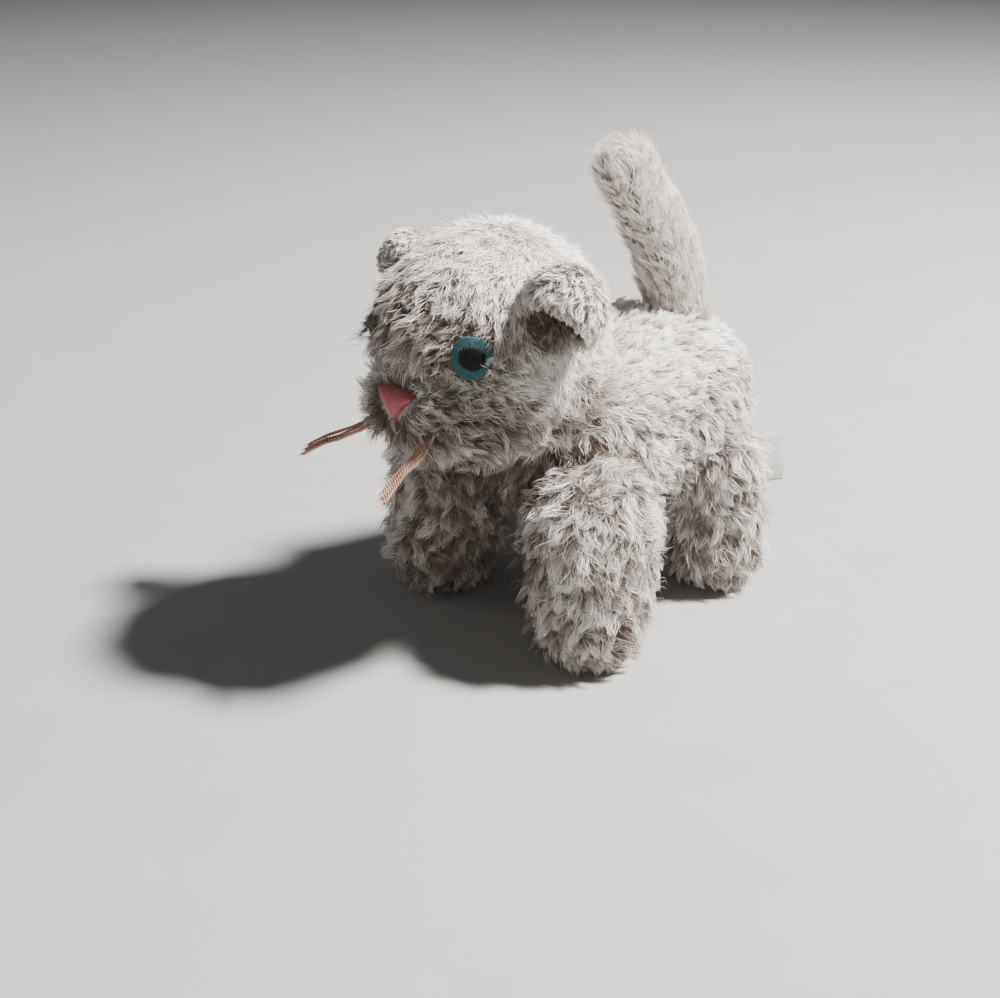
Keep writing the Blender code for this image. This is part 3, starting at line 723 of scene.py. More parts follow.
def torso_fields(spots, normals):
    back = smooth_step(0.3, 0.9, normals[:, 1])
    front = smooth_step(0.2, 0.8, -normals[:, 1])
    flank = np.abs(normals[:, 0])
    top = smooth_step(0.2, 0.8, normals[:, 2])
    under = smooth_step(0.2, 0.9, -normals[:, 2])
    shoulder = np.zeros(len(spots))
    for leg in LEG_NAMES:
        reach = np.linalg.norm(spots - LEG_TOPS[leg], axis=1)
        shoulder = np.maximum(shoulder, smooth_step(21 * MM, 12 * MM, reach))
    shoulder *= smooth_step(-0.5, 0.2, normals[:, 2] + flank)
    way = np.zeros_like(spots)
    way[:, 1] = 1.0 - 0.9 * front - 0.45 * shoulder
    way[:, 2] = -0.35 * flank - 1.3 * back - 1.4 * front - 1.2 * shoulder
    way[:, 0] = 0.25 * np.sign(spots[:, 0]) * (1 - flank)
    length = (3.7 + 0.9 * front + 0.4 * under + 1.3 * shoulder) * MM
    lift = 0.26 + 0.14 * front + 0.05 * under + 0.10 * shoulder
    # Painted shade and light: strands on the underside and the front are darker, strands on the top lighter.
    tint = 0.70 - 0.50 * under - 0.60 * front + 0.15 * top - 0.02 * shoulder
    shag = 0.85 - 0.20 * top + 0.15 * shoulder
    return fields_of(spots, way, length, lift, tint, swirl=0.4 + 0.35 * shoulder, shag=shag)


def tail_fields(spots, normals):
    share = (spots[:, 2] - tail_low.z) / (tail_high.z - tail_low.z)
    tip = smooth_step(0.84, 1.0, share)
    ahead = smooth_step(0.0, 0.8, -normals[:, 1])
    way = np.zeros_like(spots)
    way[:, 1] = -0.45 - 0.6 * tip
    way[:, 2] = 1.0
    length = (3.9 + 1.2 * tip + 0.5 * ahead) * MM
    lift = 0.20 + 0.42 * tip + 0.14 * ahead
    # Painted shade: strands on the tail's front side are darker.
    return fields_of(spots, way, length, lift, 1.08 - 0.12 * ahead, swirl=0.22, shag=0.12 + 0.35 * ahead)


def leg_fields(leg, swirl):
    top = LEG_TOPS[leg]

    def fields(spots, normals):
        height = np.clip(spots[:, 2] / top[2], 0, 1)
        way = np.zeros_like(spots)
        way[:, 2] = -1.0
        way[:, 1] = 0.25
        way[:, 0] = 0.10 * np.sign(top[0])
        sole = smooth_step(0.55, 0.9, -normals[:, 2])
        foot = smooth_step(0.40, 0.12, height)
        length = (5.4 - 1.3 * foot) * MM
        inner = smooth_step(0.1, 0.8, -normals[:, 0] * np.sign(top[0]))
        # Painted shade: strands on the sole and on the inner side are darker. The strands also get darker
        # towards the foot.
        tint = 0.33 + 0.30 * height - 0.30 * sole - 0.30 * inner
        lift = 0.22 + 0.10 * drift(spots, 8 * MM, 3) - 0.10 * foot
        lift = np.where(sole > 0.5, 0.10, lift)
        keep = np.where((spots[:, 2] < 0.5 * MM) & (sole > 0.8), 0.3, 1.0)
        return fields_of(spots, way, length, lift, tint, swirl * (0.45 + 0.7 * height), keep, 0.95)

    return fields


def on_nose(spots):
    """Which spots lie under the nose's rounded triangle."""
    share = (spots[:, 2] - nose_low.z) / (nose_high.z - nose_low.z)
    half = (nose_high.x + 0.3 * MM) * np.clip(0.25 + 0.95 * share, 0, 1)
    return (share > -0.03) & (share < 1.03) & (np.abs(spots[:, 0]) < half) & (spots[:, 1] < nose_high.y)


def on_mouth(spots):
    rows = (spots[:, 2] > mouth_low.z) & (spots[:, 2] < mouth_high.z)
    return rows & (np.abs(spots[:, 0]) < 0.8 * MM) & (spots[:, 1] < HEAD[1] - 0.6 * HEAD_R)


def head_fields(spots, normals):
    out = spots - HEAD
    level = out[:, 2] / HEAD_R
    ahead = -out[:, 1] / HEAD_R
    sideways = out[:, 0] / HEAD_R
    from_nose = unit(spots - (NOSE + np.array([0, 1.5 * MM, 0])))
    muzzle = smooth_step(0.30, 0.75, ahead) * smooth_step(0.16, -0.06, level)
    brow = smooth_step(0.25, 0.75, ahead) * smooth_step(-0.05, 0.15, level) * smooth_step(0.85, 0.6, level)
    low = smooth_step(0.10, -0.45, level)
    behind_ears = smooth_step(0.15, -0.35, ahead)
    way = np.zeros_like(spots)
    way[:, 0] = 0.45 * sideways
    way[:, 1] = -0.75 + 1.35 * behind_ears + 0.9 * smooth_step(0.45, 0.9, np.abs(sideways))
    way[:, 2] = -0.75
    way = way * (1 - muzzle)[:, None] + from_nose * (1.3 * muzzle)[:, None]
    lift = 0.22 + 0.22 * brow + 0.20 * muzzle + 0.02 * low
    length = (3.4 + 1.3 * brow - 0.6 * muzzle + 2.1 * low) * MM
    crown = smooth_step(0.4, 0.8, level)
    # Painted light and shade: the crown's strands are lighter, the brow's and the lower face's darker.
    tint = 0.93 + 0.14 * crown - 0.02 * muzzle - 0.52 * brow - 0.66 * low
    shag = 0.12 + 0.68 * brow + 0.88 * low
    keep = np.ones(len(spots))
    lash_reach = IRIS_R + 2.2 * MM
    for side_name, _ in SIDES:
        eye = HEAD + EYES[side_name] * HEAD_R
        away = spots - eye
        reach = np.linalg.norm(away, axis=1)
        ring = smooth_step(IRIS_R + 2.6 * MM, IRIS_R, reach)
        behind = (away[:, 1] > 0.3 * reach) & (away[:, 2] > -0.85 * reach) & (away[:, 2] < 0.35 * reach)
        lashes = behind & (reach < lash_reach) & (drift(spots, 2.6 * MM, 17) > 0.0)
        push = np.where(lashes, -2.6, 0.6)
        way = way + unit(away) * (ring * push)[:, None]
        lift = lift + np.where(lashes, 0.22, -0.08 * ring)
        above = np.linalg.norm(away - np.array([0, 0, lash_reach]), axis=1)
        above = smooth_step(5.5 * MM, 2.0 * MM, above)
        length = length * (1 - 0.22 * ring) * (1 - 0.5 * above)
        if side_name == "right":  # the fur between the eyes hides this one from the left
            between_eyes = ring * smooth_step(0.2, -0.5, away[:, 1] / reach)
            length = length * (1 + 0.9 * between_eyes)
            lift = lift + 0.25 * between_eyes
        lift = lift - 0.12 * above
        shag = shag - 0.6 * above
        tint = tint - 0.25 * smooth_step(IRIS_R + 4.5 * MM, IRIS_R, reach)
        keep[reach < IRIS_R - 0.35 * MM] = 0.0
        # Below each ear's opening the strands are darker and shorter: the darkness is partly painted shade
        # of the ear's hollow, partly the fur's own brown dye.
        under_ear = EAR_HOLES[side_name]
        hole = smooth_step(5.5 * MM, 2.2 * MM, np.linalg.norm(spots - under_ear, axis=1))
        tint = tint - 1.2 * hole
        length = length * (1 - 0.35 * hole)
        shag = shag + 0.3 * hole
    near_nose = smooth_step(9 * MM, 4 * MM, np.linalg.norm(spots - NOSE, axis=1))
    shag = shag - 0.4 * near_nose
    keep[on_nose(spots) | on_mouth(spots)] = 0.0
    return fields_of(spots, way, length, lift, tint, 0.5, keep, np.clip(shag, 0, 1))


def part_of(fields, wanted):
    """The same fields, kept only where wanted(spots) is true."""
    def some(spots, normals):
        made = fields(spots, normals)
        made["keep"] = made["keep"] * wanted(spots)
        return made

    return some


def ear_fields(centre, open_way, length):
    def fields(spots, normals):
        out = unit(spots - centre)
        outer = np.sum(out * normals, axis=1)
        hem = smooth_step(0.0, 0.7, out @ open_way)
        way = out * 0.15 + open_way[None] + np.array([[0.0, 0.0, -0.2]])
        keep = smooth_step(-0.1, 0.2, outer)
        lift = 0.36 + 0.30 * hem
        return fields_of(spots, way, length * (1 - 0.68 * hem), lift, 0.92 - 0.1 * hem, 0.7, keep, 0.6)

    return fields


def nap_fields(centre, open_way):
    def fields(spots, normals):
        out = unit(spots - centre)
        inside = -np.sum(out * normals, axis=1)
        way = np.zeros_like(spots) + open_way[None]
        keep = smooth_step(-0.1, 0.3, inside)
        tint = 0.25 + 0.25 * smooth_step(0.0, -0.8, out[:, 2])
        return fields_of(spots, way, 1.7 * MM, 0.5, tint, 0.9, keep, 0.8)

    return fields


# --- Stuffed pieces ---------------------------------------------------------------------------------


def leg_seam(leg):
    foot = middle("leg_" + leg + "_stuffing")
    return lambda points: points[:, 0] - foot.x


skins = {}
skins["torso"] = stuffed_skin("torso_fabric", "torso_stuffing", 1.1 * MM, lambda p: p[:, 2] - BELLY_SEAM)
skins["head"] = stuffed_skin(
    "head_fabric", "head_stuffing", 1.0 * MM, lambda p: np.where(p[:, 2] > HEAD[2], 1.0, p[:, 0])
)
skins["tail"] = stuffed_skin("tail_fabric", "tail_stuffing", 0.8 * MM, lambda p: p[:, 0])
for leg in LEG_NAMES:
    skins[leg] = stuffed_skin("leg_" + leg + "_fabric", "leg_" + leg + "_stuffing", 0.9 * MM, leg_seam(leg))


def shape_face(skin):
    """Deepens the fold between forehead and muzzle, and fills the brow."""
    points = read_points(skin.data)
    normals = read_points(skin.data, "normal")
    out = points - HEAD
    bend = HEAD[2] + 0.6 * MM - 0.25 * np.abs(out[:, 0]) - points[:, 2]
    front = smooth_step(0.55, 0.9, -out[:, 1] / HEAD_R)
    fold = np.exp(-((bend / (1.7 * MM)) ** 2)) * front
    brow = np.exp(-(((out[:, 2] - 6.5 * MM) / (4 * MM)) ** 2)) * front
    write_points(skin.data, points + normals * (0.5 * brow - 1.5 * fold)[:, None] * MM)


def narrow_foot(skin, leg, much):
    """Draws a leg in towards its foot, where its skin is less full."""
    points = read_points(skin.data)
    top = LEG_TOPS[leg]
    low = smooth_step(0.75, 0.0, points[:, 2] / top[2])[:, None]
    foot = np.array(middle("leg_" + leg + "_stuffing"))[:2]
    points[:, :2] += (foot - points[:, :2]) * much * low
    write_points(skin.data, points)


def flatten_sole(skin):
    points = read_points(skin.data)
    points[:, 2] = np.maximum(points[:, 2], 0.02 * MM)
    write_points(skin.data, points)


shape_face(skins["head"])
for leg in LEG_NAMES:
    narrow_foot(skins[leg], leg, 0.12 if leg.startswith("front") else 0.06)
    flatten_sole(skins[leg])
moving = [skins["head"], skins["tail"]] + [skins[leg] for leg in LEG_NAMES]
make_room(skins["torso"], moving, 0.35 * MM)

for body in ["torso", "head", "tail"] + LEG_NAMES:
    skin = skins[body]
    joint = body if body in ("torso", "head", "tail") else "leg_" + body
    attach(skin, joint)

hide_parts("torso_skin_left", "torso_skin_right", "belly_skin", "torso_stuffing")
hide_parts("head_skin_left", "head_skin_right", "head_gusset", "head_stuffing")
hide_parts("tail_skin_left", "tail_skin_right", "tail_stuffing")
for leg in LEG_NAMES:
    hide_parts(*("leg_" + leg + part for part in ("_outer", "_inner", "_stuffing")))

# --- Ears -------------------------------------------------------------------------------------------


def soft_cup(name, node, look, voxel):
    """An ear layer from the frame, with its cut edges rolled soft."""
    cup = link_object(name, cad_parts[node].data.copy(), look)
    cup.data.transform(Matrix.Scale(SIM_SCALE, 4))
    remesh = cup.modifiers.new("even cloth", "REMESH")
    remesh.mode = "VOXEL"
    remesh.voxel_size = voxel * SIM_SCALE
    soften = cup.modifiers.new("rolled edge", "SMOOTH")
    soften.factor = 0.5
    soften.iterations = 3
    bake_modifiers(cup)
    cup.data.transform(Matrix.Scale(1 / SIM_SCALE, 4))
    cup.data.materials.clear()
    cup.data.materials.append(look)
    cup.data.shade_smooth()
    return cup


def plump(skin, centre, much):
    """Thickens an ear on its outside, as its pile's backing is."""
    points, normals = read_points(skin.data), read_points(skin.data, "normal")
    outer = smooth_step(0.0, 0.6, np.sum(unit(points - centre) * normals, axis=1))
    away = np.linalg.norm(points + normals * much - HEAD, axis=1) > HEAD_R + 0.6 * MM
    write_points(skin.data, points + normals * (outer * away * much)[:, None])


EAR_COAT_LENGTH = {"left": 2.5 * MM, "right": 1.4 * MM}  # the right ear's pile is pressed flat
ear_cups = []
for number, (side_name, _) in enumerate(SIDES):
    ear = "ear_" + side_name
    facing = EAR_FACING[side_name]
    centre = np.array(middle(ear + "_skin")) + facing * 0.8 * MM
    pile_length = EAR_COAT_LENGTH[side_name]
    cup = soft_cup(ear + "_cup", ear + "_skin", BACKING, 0.35 * MM)
    lining = soft_cup(ear + "_inside", ear + "_lining", LINING, 0.3 * MM)
    plump(cup, centre, 0.45 * MM if side_name == "left" else 0.1 * MM)
    ear_cups.append(cup)
    for piece, node, finish in ((cup, ear + "_skin", "plush"), (lining, ear + "_lining", "ear_lining")):
        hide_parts(node)
        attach(piece, ear)
    coat = {
        "per_mm2": 15.0, "fields": ear_fields(centre, facing, pile_length), "per_lock": 12, "curl": 1.0,
        "stations": LONG,
    }
    pile = grow_pile(ear + "_pile", cup, ear, coat, neighbours=[skins["head"]], seed=60 + number)
    coat = {
        "per_mm2": 16.0, "fields": nap_fields(centre, facing), "per_lock": 6, "curl": 0.8,
    }
    nap = grow_pile(ear + "_nap", lining, ear, coat, LINING_NAP, [skins["head"]], 70 + number)

# --- Pile on the stuffed pieces ---------------------------------------------------------------------

TORSO_COAT = {"per_mm2": 10.0, "fields": torso_fields, "per_lock": 15, "curl": 0.55, "spread": 0.17}
TAIL_COAT = {"per_mm2": 13.5, "fields": tail_fields, "per_lock": 13, "curl": 0.45, "spread": 0.15}
HEAD_COAT = {
    "per_mm2": 13.0, "fields": head_fields, "per_lock": 16, "curl": 0.8, "swirl_size": 8 * MM,
    "stray": 0.05, "stations": LONG,
}
FRONT_LEG_COAT = {
    "per_mm2": 11.5, "per_lock": 20, "curl": 1.0, "swirl_size": 11 * MM, "stations": LONG, "stray": 0.03,
}
REAR_LEG_COAT = {"per_mm2": 10.5, "per_lock": 16, "curl": 0.7, "stations": LONG}


def part_coat(coat, wanted):
    """The same coat on the part of a skin where wanted(spots) is true."""
    return {**coat, "fields": part_of(coat["fields"], wanted)}


def grow_in_parts(name, body, coat, parts, neighbours, seed):
    """A skin's pile in a few pieces, so that none of them is very large."""
    grown = []
    for number, (part, wanted) in enumerate(parts.items()):
        grown.append(grow_pile(
            name + "_" + part + "_pile", skins[name], body, part_coat(coat, wanted),
            neighbours=neighbours, seed=seed + 3 * number,
        ))
    return grown


legs = [skins[leg] for leg in LEG_NAMES]
halves = {
    "torso": {
        "left_top": lambda p: (p[:, 0] >= 0) & (p[:, 2] >= TORSO[2]),
        "left_low": lambda p: (p[:, 0] >= 0) & (p[:, 2] < TORSO[2]),
        "right_top": lambda p: (p[:, 0] < 0) & (p[:, 2] >= TORSO[2]),
        "right_low": lambda p: (p[:, 0] < 0) & (p[:, 2] < TORSO[2]),
    },
    "head": {
        "left_face": lambda p: (p[:, 0] >= 0) & (p[:, 1] < HEAD[1] - 2 * MM),
        "left_back": lambda p: (p[:, 0] >= 0) & (p[:, 1] >= HEAD[1] - 2 * MM),
        "right_face": lambda p: (p[:, 0] < 0) & (p[:, 1] < HEAD[1] - 2 * MM),
        "right_back": lambda p: (p[:, 0] < 0) & (p[:, 1] >= HEAD[1] - 2 * MM),
    },
}
piles = [grow_pile("tail_pile", skins["tail"], "tail", TAIL_COAT, neighbours=[skins["torso"]], seed=20)]
others = [skins["head"], skins["tail"]] + legs
piles += grow_in_parts("torso", "torso", TORSO_COAT, halves["torso"], others, 10)
piles += grow_in_parts("head", "head", HEAD_COAT, halves["head"], [skins["torso"]] + ear_cups, 30)
for number, leg in enumerate(LEG_NAMES):
    front = leg.startswith("front")
    coat = dict(FRONT_LEG_COAT if front else REAR_LEG_COAT)
    coat["fields"] = leg_fields(leg, 0.9 if front else 0.45)
    for part, ahead in (("fore", True), ("hind", False)):
        middle_y = LEG_TOPS[leg][1]
        piles.append(grow_pile(
            "leg_" + leg + "_" + part + "_pile", skins[leg], "leg_" + leg,
            part_coat(coat, lambda p: (p[:, 1] < middle_y) == ahead),
            neighbours=[skins["torso"], skins["head"]], seed=40 + 2 * number + ahead,
        ))

# --- Threads ----------------------------------------------------------------------------------------


def tube_arrays(path, radius, up, sides=7, flat=1.0, turns=0.0):
    """A closed tube along path: points, quads, triangles and map spots."""
    path = np.asarray(path)
    radius = np.broadcast_to(radius, len(path))
    along = unit(np.gradient(path, axis=0))
    side = unit(np.cross(along, up))
    lifted = np.cross(side, along)
    angle = np.arange(sides) * 2 * math.pi / sides
    rings = (
        path[:, None]
        + radius[:, None, None] * np.cos(angle)[None, :, None] * side[:, None]
        + radius[:, None, None] * flat * np.sin(angle)[None, :, None] * lifted[:, None]
    )
    count = len(path)
    points = np.concatenate([rings.reshape(-1, 3), path[:1], path[-1:]])
    ring, step = np.meshgrid(np.arange(count - 1), np.arange(sides), indexing="ij")
    beside = (step + 1) % sides
    quads = np.stack([
        ring * sides + step, ring * sides + beside, (ring + 1) * sides + beside, (ring + 1) * sides + step,
    ], axis=-1).reshape(-1, 4)
    step = np.arange(sides)
    start = np.stack([np.full(sides, count * sides), (step + 1) % sides, step], axis=1)
    last = (count - 1) * sides
    end = np.stack([np.full(sides, count * sides + 1), last + step, last + (step + 1) % sides], axis=1)
    length = np.concatenate([[0], np.cumsum(np.linalg.norm(np.diff(path, axis=0), axis=1))])
    spots = np.zeros((len(points), 2))
    spots[: count * sides, 0] = np.tile(np.abs(step / sides - 0.5) * 2, count)
    spots[: count * sides, 1] = np.repeat(length / length[-1], sides)
    spots[-1, 1] = 1.0
    return points, quads, np.concatenate([start, end]), spots


def join_arrays(name, parts, look):
    points, quads, triangles, spots, base = [], [], [], [], 0
    for p, q, t, s in parts:
        points.append(p)
        quads.append(q + base)
        triangles.append(t + base)
        spots.append(s)
        base += len(p)
    mesh = mesh_from_arrays(
        name, np.concatenate(points), np.concatenate(quads), np.concatenate(triangles), np.concatenate(spots)
    )
    return link_object(name, mesh, look)


head_surface = surface_tree(skins["head"])


def press_on(spot, inward, off):
    """The spot on the head's skin that lies inward from here, off above it."""
    hit, _, _, _ = head_surface.ray_cast(Vector(spot) - Vector(inward) * 0.02, Vector(inward))
    if hit is None:
        hit, _, _, _ = head_surface.find_nearest(Vector(spot))
    return np.array(hit) - np.array(inward) * off


def press_on_felt(spot, inward, off):
    """The spot on the eye's felt disc under this one, off above it."""
    return HEAD + unit(spot - HEAD) * (HEAD_R + FELT_LOW + FELT_THICK + off)


def stitched_patch(
    name, centre, outward, up, half_width, span, threads, radius, look, off, fan=0.0, lay=press_on
):
    """Satin stitches side by side. span(x) gives a stitch's low and high end at x across."""
    outward = unit(np.array(outward))
    across = unit(np.cross(up, outward))
    up = np.cross(outward, across)
    parts = []
    rng = np.random.default_rng(threads)
    for i in range(threads):
        x = half_width * (2 * (i + 0.5) / threads - 1)
        low, high = span(x)
        low += rng.normal(0, 0.05 * MM)
        high += rng.normal(0, 0.05 * MM)
        path = []
        for j in range(9):
            t = j / 8
            h = low + (high - low) * t
            spread = x * (1 - fan * (1 - t))
            crown = math.sin(math.pi * t) ** 0.5
            spot = centre + across * spread + up * h
            path.append(lay(spot, -outward, off * crown - 0.25 * MM * (1 - crown)))
        parts.append(tube_arrays(path, radius, outward, sides=8, flat=0.8))
    return join_arrays(name, parts, look)


# Nose: satin stitches side by side in a rounded triangle
nose_half = (nose_high.x - nose_low.x) / 2
nose_tall = nose_high.z - nose_low.z


def nose_span(x):
    share = abs(x) / nose_half
    top = 0.46 * nose_tall - 0.20 * nose_tall * share**3
    low = -0.56 * nose_tall + 0.74 * nose_tall * share**1.15
    return low, max(top, low + 0.6 * MM)


nose_outward = (0, -1, 0.30)
nose_threads = stitched_patch(
    "nose_satin_stitches", NOSE, nose_outward, (0, 0, 1), nose_half * 0.97, nose_span, 19, 0.27 * MM,
    ROSE_THREAD, 0.85 * MM, fan=0.25,
)
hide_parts("nose_stitching")
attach(nose_threads, "head")

# Mouth: three mauve stitches straight down from the nose
mouth_tall = mouth_high.z - mouth_low.z
mouth_threads = stitched_patch(
    "mouth_stitches", np.array(middle("mouth_stitching")), (0, -1, -0.15), (0, 0, 1), 0.55 * MM,
    lambda x: (-mouth_tall * 0.55, mouth_tall * 0.6), 3, 0.25 * MM, MAUVE_THREAD, 0.7 * MM,
)
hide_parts("mouth_stitching")
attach(mouth_threads, "head")

# --- Eyes -------------------------------------------------------------------------------------------


def felt_disc(name, outward, radius, low, thick, look, seed):
    """A hand-cut felt disc that follows the head, with a soft edge."""
    rng = np.random.default_rng(seed)
    around, rings = 64, 14
    across = unit(np.cross((0, 0, 1), outward))
    up = np.cross(outward, across)
    angle = np.arange(around) * 2 * math.pi / around
    wobble = 1 + 0.022 * np.sin(3 * angle + 1.1) + 0.016 * np.sin(7 * angle) + rng.normal(0, 0.006, around)
    layers = [(i / rings, 1.0) for i in range(1, rings)]
    layers += [(0.975, 0.97), (1.0, 0.72), (1.005, 0.35), (0.98, 0.0)]
    points = [HEAD + outward * (HEAD_R + low + thick)]
    for share, height in layers:
        flat = radius * share * wobble
        off = np.sqrt(np.maximum((HEAD_R + low + thick * height) ** 2 - flat**2, 0))
        fuzz = rng.normal(0, 0.02 * MM, around) if 0 < height else 0.0
        points.extend(
            HEAD + outward * (off + fuzz)[:, None]
            + across * (flat * np.cos(angle))[:, None] + up * (flat * np.sin(angle))[:, None]
        )
    points.append(HEAD + outward * (HEAD_R + low - 0.1 * MM))
    points = np.array(points)
    count = len(layers)
    step = np.arange(around)
    beside = (step + 1) % around
    quads = np.concatenate([
        np.stack([
            1 + i * around + step, 1 + (i + 1) * around + step,
            1 + (i + 1) * around + beside, 1 + i * around + beside,
        ], axis=1) for i in range(count - 1)
    ])
    first = np.stack([np.zeros(around, int), 1 + step, 1 + beside], axis=1)
    last = 1 + (count - 1) * around
    end = np.stack([np.full(around, last + around), last + beside, last + step], axis=1)
    mesh = mesh_from_arrays(name, points, quads, np.concatenate([first, end]))
    return link_object(name, mesh, look)


def fuzz_fields(outward, radius):
    def fields(spots, normals):
        out = spots - (HEAD + outward * HEAD_R)
        off_axis = out - outward * (out @ outward)[:, None]
        share = np.linalg.norm(off_axis, axis=1) / radius
        way = off_axis * (share > 0.85)[:, None] / radius + np.roll(normals, 1, axis=1) * 0.4
        keep = np.where(np.sum(normals * outward, axis=1) > -0.3, 0.3 + 0.7 * (share > 0.85), 0.0)
        return fields_of(spots, way, 0.55 * MM, 0.45, 0.45, 3.0, keep)

    return fields


for number, (side_name, _) in enumerate(SIDES):
    outward = EYES[side_name]
    eye = "eye_" + side_name
    iris = felt_disc(eye + "_felt", outward, IRIS_R, FELT_LOW, FELT_THICK, TEAL_FELT, 3 + number)
    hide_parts(eye + "_iris")
    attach(iris, "head")
    coat = {
        "per_mm2": 16.0, "fields": fuzz_fields(outward, IRIS_R), "per_lock": 3, "curl": 0.9, "pull": 0.1,
        "width": 0.05 * MM, "spread": 1.2,
    }
    fuzz = grow_pile(eye + "_fuzz", iris, "head", coat, TEAL_FUZZ, seed=80 + number)
    pupil = stitched_patch(
        eye + "_pupil_stitches", HEAD + outward * HEAD_R, outward, (0.15, 0.1, 1), PUPIL_R * 0.93,
        lambda x: (
            -math.sqrt(max(PUPIL_R**2 - x * x, 0)), math.sqrt(max(PUPIL_R**2 - x * x, 0))
        ),
        10, 0.26 * MM, BLACK_THREAD, 0.22 * MM, lay=press_on_felt,
    )
    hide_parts(eye + "_pupil")
    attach(pupil, "head")

# --- Whiskers ---------------------------------------------------------------------------------------

PLY_R = 0.17 * MM  # one of the two strands of a whisker's thread
PLY_PITCH = 0.95 * MM
WHISKER_ROOT = 1.6 * MM  # hidden in the muzzle


def centreline(node, count):
    """Middle points along a whisker in the frame, from its root at the muzzle to its free end."""
    points = read_points(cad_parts[node].data)
    centre = points.mean(axis=0)
    _, _, axes = np.linalg.svd(points - centre, full_matrices=False)
    share = (points - centre) @ axes[0]
    order = np.linspace(share.min(), share.max(), count)
    line = np.array([points[np.argsort(np.abs(share - at))[:16]].mean(axis=0) for at in order])
    if np.linalg.norm(line[0] - HEAD) > np.linalg.norm(line[-1] - HEAD):
        line = line[::-1]
    return line


def resample(line, count):
    share = np.linspace(0, 1, len(line))
    wanted = np.linspace(0, 1, count)
    return np.stack([np.interp(wanted, share, line[:, k]) for k in range(3)], axis=1)


def plied_cord(line, strand_r, pitch, seed):
    """Two strands twisted round each other along line."""
    length = np.linalg.norm(np.diff(line, axis=0), axis=1).sum()
    turns = length / pitch
    count = int(turns * 11)
    path = resample(line, count)
    along = unit(np.gradient(path, axis=0))
    side = unit(np.cross(along, (0, 0, 1)))
    lifted = np.cross(side, along)
    t = np.linspace(0, 1, count)
    wander = 0.10 * MM * np.sin(2 * math.pi * (1.3 * t + seed * 0.37))
    path = path + side * wander[:, None]
    parts = []
    for half in (0.0, math.pi):
        angle = 2 * math.pi * turns * t + half
        spread = strand_r * 0.92 * (1 + 0.08 * np.sin(5 * t + seed))
        ply = path + side * (np.cos(angle) * spread)[:, None] + lifted * (np.sin(angle) * spread)[:, None]
        thick = strand_r * (1.0 - 0.35 * smooth_step(0.96, 1.0, t))
        parts.append(tube_arrays(ply, thick, lifted.mean(axis=0), sides=7))
    return parts


def frayed_end(line, seed):
    """Loose fibres where the twist opens at a whisker's end, as strand paths."""
    rng = np.random.default_rng(seed)
    tip, along = line[-1], unit(line[-1] - line[-2])
    count = 26
    across = unit(rng.normal(size=(count, 3)))
    across -= along * (across @ along)[:, None]
    reach = rng.uniform(0.6, 1.5, count)[:, None] * MM
    steps = np.linspace(0, 1, LONG)[None, :, None]
    start = tip - along * 0.7 * MM + across * 0.15 * MM
    bend = across * 0.45 * MM * rng.uniform(0.2, 1.2, count)[:, None]
    return start[:, None] + along * reach[:, None] * steps * 1.2 + bend[:, None] * steps**2, across


for side_name, _ in SIDES:
    fray_paths, fray_normals = [], []
    for i in range(1, 4):
        node = "whisker_" + side_name + "_" + str(i)
        line = centreline(node, 7)
        root = line[0] - unit(line[1] - line[0]) * WHISKER_ROOT
        line = np.concatenate([root[None], line])
        cord = join_arrays(node + "_floss", plied_cord(line, PLY_R, PLY_PITCH, i), COPPER_FLOSS)
        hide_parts(node)
        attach(cord, "head")
        ends, across = frayed_end(line, 90 + i)
        fray_paths.append(ends)
        fray_normals.append(across)
    paths, across = np.concatenate(fray_paths), np.concatenate(fray_normals)
    count = len(paths)
    rng = np.random.default_rng(7)
    mesh = ribbon_mesh(
        "whisker_" + side_name + "_fray", paths, across, np.full(count, 0.07 * MM),
        rng.normal(0, 0.8, count), rng.uniform(0.2, 0.9, count),
    )
    fray = link_object(mesh.name, mesh, COPPER_FRAY)
    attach(fray, "head")

# --- Care label -------------------------------------------------------------------------------------


def ribbon_weave_material():
    """White satin ribbon: fine ribs across and along, a soft mottle and a soft sheen."""
    made, tree, shader = new_material("white_ribbon", sheen_weight=0.25, sheen_roughness=0.3)
    place = add_node(tree, "UVMap", uv_map=MAP)
    warp = add_node(tree, "TexWave", {"Scale": 34.0, "Distortion": 0.4}, bands_direction="X")
    weft = add_node(tree, "TexWave", {"Scale": 46.0, "Distortion": 0.4}, bands_direction="Y")
    mottle = add_node(tree, "TexNoise", {"Scale": 9.0, "Detail": 4.0})
    for texture in (warp, weft, mottle):
        tree.links.new(place.outputs["UV"], texture.inputs["Vector"])
    weave = add_node(tree, "Mix", {"Factor": 0.5}, data_type="FLOAT")
    tree.links.new(warp.outputs["Fac"], weave.inputs["A"])
    tree.links.new(weft.outputs["Fac"], weave.inputs["B"])
    tone = add_node(tree, "Mix", data_type="RGBA")
    tone.inputs["A"].default_value = (0.36, 0.345, 0.32, 1)
    tone.inputs["B"].default_value = (0.56, 0.55, 0.53, 1)
    tree.links.new(mottle.outputs["Fac"], tone.inputs["Factor"])
    tree.links.new(tone.outputs["Result"], shader.inputs["Base Color"])
    worn = add_node(tree, "MapRange", {"To Min": 0.55, "To Max": 0.38})
    tree.links.new(weave.outputs["Result"], worn.inputs["Value"])
    tree.links.new(worn.outputs["Result"], shader.inputs["Roughness"])
    bump_from(tree, weave.outputs["Result"], shader, 0.35, 0.0001)
    return made


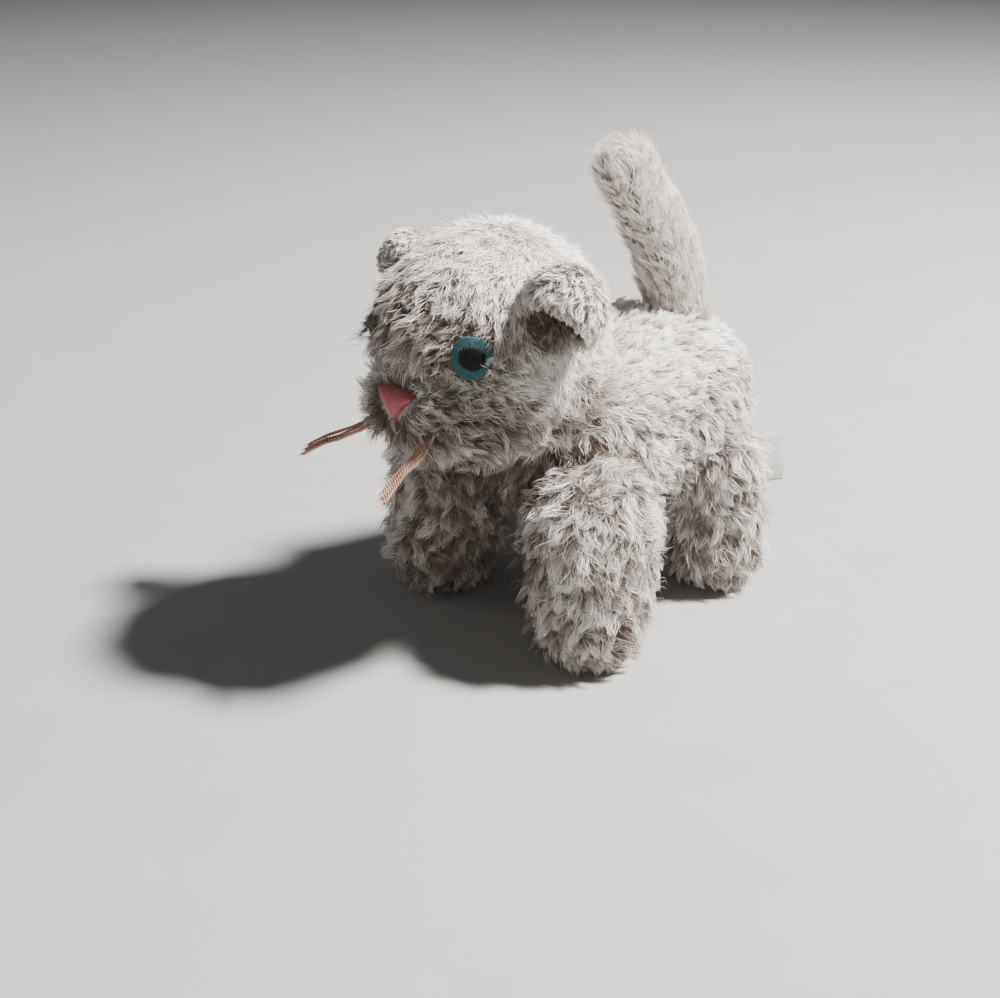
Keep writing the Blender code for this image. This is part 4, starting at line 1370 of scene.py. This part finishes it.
def folded_ribbon():
    """The label's ribbon: out from the seam, round a soft fold and back, a little curled."""
    points = read_points(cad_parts["care_label"].data)
    low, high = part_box("care_label")
    flat = points[:, :2] - points[:, :2].mean(axis=0)
    _, _, axes = np.linalg.svd(flat, full_matrices=False)
    out = np.array([*axes[0], 0.0])
    out *= math.copysign(1.0, out[1])
    along = points[:, :2] @ out[:2]
    reach = along.max() - along.min()
    centre = points.mean(axis=0)
    root = centre - out * ((centre[:2] @ out[:2]) - along.min())
    across = np.cross(out, (0, 0, 1))
    tall = high.z - low.z
    fold_r, thick = 0.32 * MM, 0.14 * MM
    rows, columns = 22, 60
    run = 2 * (reach - fold_r) + math.pi * fold_r
    grid = []
    for i in range(columns + 1):
        s = run * i / columns
        straight = reach - fold_r
        if s < straight:
            u, v, facing = s, fold_r, math.pi / 2
        elif s > straight + math.pi * fold_r:
            u, v, facing = run - s, -fold_r, -math.pi / 2
        else:
            facing = math.pi / 2 - (s - straight) / fold_r
            u, v = straight + fold_r * math.cos(facing), fold_r * math.sin(facing)
        for j in range(rows + 1):
            h = j / rows - 0.5
            end = max(u / reach, 0.0)
            corner = 0.9 * MM * max(0.0, abs(h) - 0.40) * 10 * end**8
            curl = 0.9 * MM * end**2 * (0.5 - h) + 0.25 * MM * math.sin(5 * h + 3 * end)
            spot = root + out * (u - corner * 0.6) + across * (v + curl * end)
            spot = spot + np.array([0, 0, h * tall - 0.7 * MM * end**2])
            normal = out * math.cos(facing) + across * math.sin(facing)
            grid.append((spot, normal))
    outer = np.array([spot + normal * thick / 2 for spot, normal in grid])
    inner = np.array([spot - normal * thick / 2 for spot, normal in grid])
    wide = rows + 1
    quads = []
    for i in range(columns):
        for j in range(rows):
            a = i * wide + j
            quads.append((a, a + wide, a + wide + 1, a + 1))
    quads = np.array(quads)
    shift = len(outer)
    below = quads[:, ::-1] + shift
    rim = list(range(wide)) + [i * wide + rows for i in range(1, columns + 1)]
    rim += [columns * wide + j for j in range(rows - 1, -1, -1)]
    rim += [i * wide for i in range(columns - 1, 0, -1)]
    edge = [(a, b, b + shift, a + shift) for a, b in zip(rim, rim[1:] + rim[:1])]
    quads = np.concatenate([quads, below, np.array(edge)])
    spots = np.array([(j / rows, i / columns) for i in range(columns + 1) for j in range(wide)])
    mesh = mesh_from_arrays(
        "care_label_ribbon", np.concatenate([outer, inner]), quads, np.zeros((0, 3), int),
        np.concatenate([spots, spots]),
    )
    label = link_object("care_label_ribbon", mesh, ribbon_weave_material())
    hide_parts("care_label")
    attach(label, "leg_rear_left")


folded_ribbon()

# --- Stage ------------------------------------------------------------------------------------------


def add_floor():
    mesh = bpy.data.meshes.new("floor")
    reach = 2.5
    corners = [(-reach, -reach, 0), (reach, -reach, 0), (reach, reach, 0), (-reach, reach, 0)]
    mesh.from_pydata(corners, [], [(0, 1, 2, 3)])
    link_object("floor", mesh, floor_material())


add_camera()
add_studio()
add_floor()
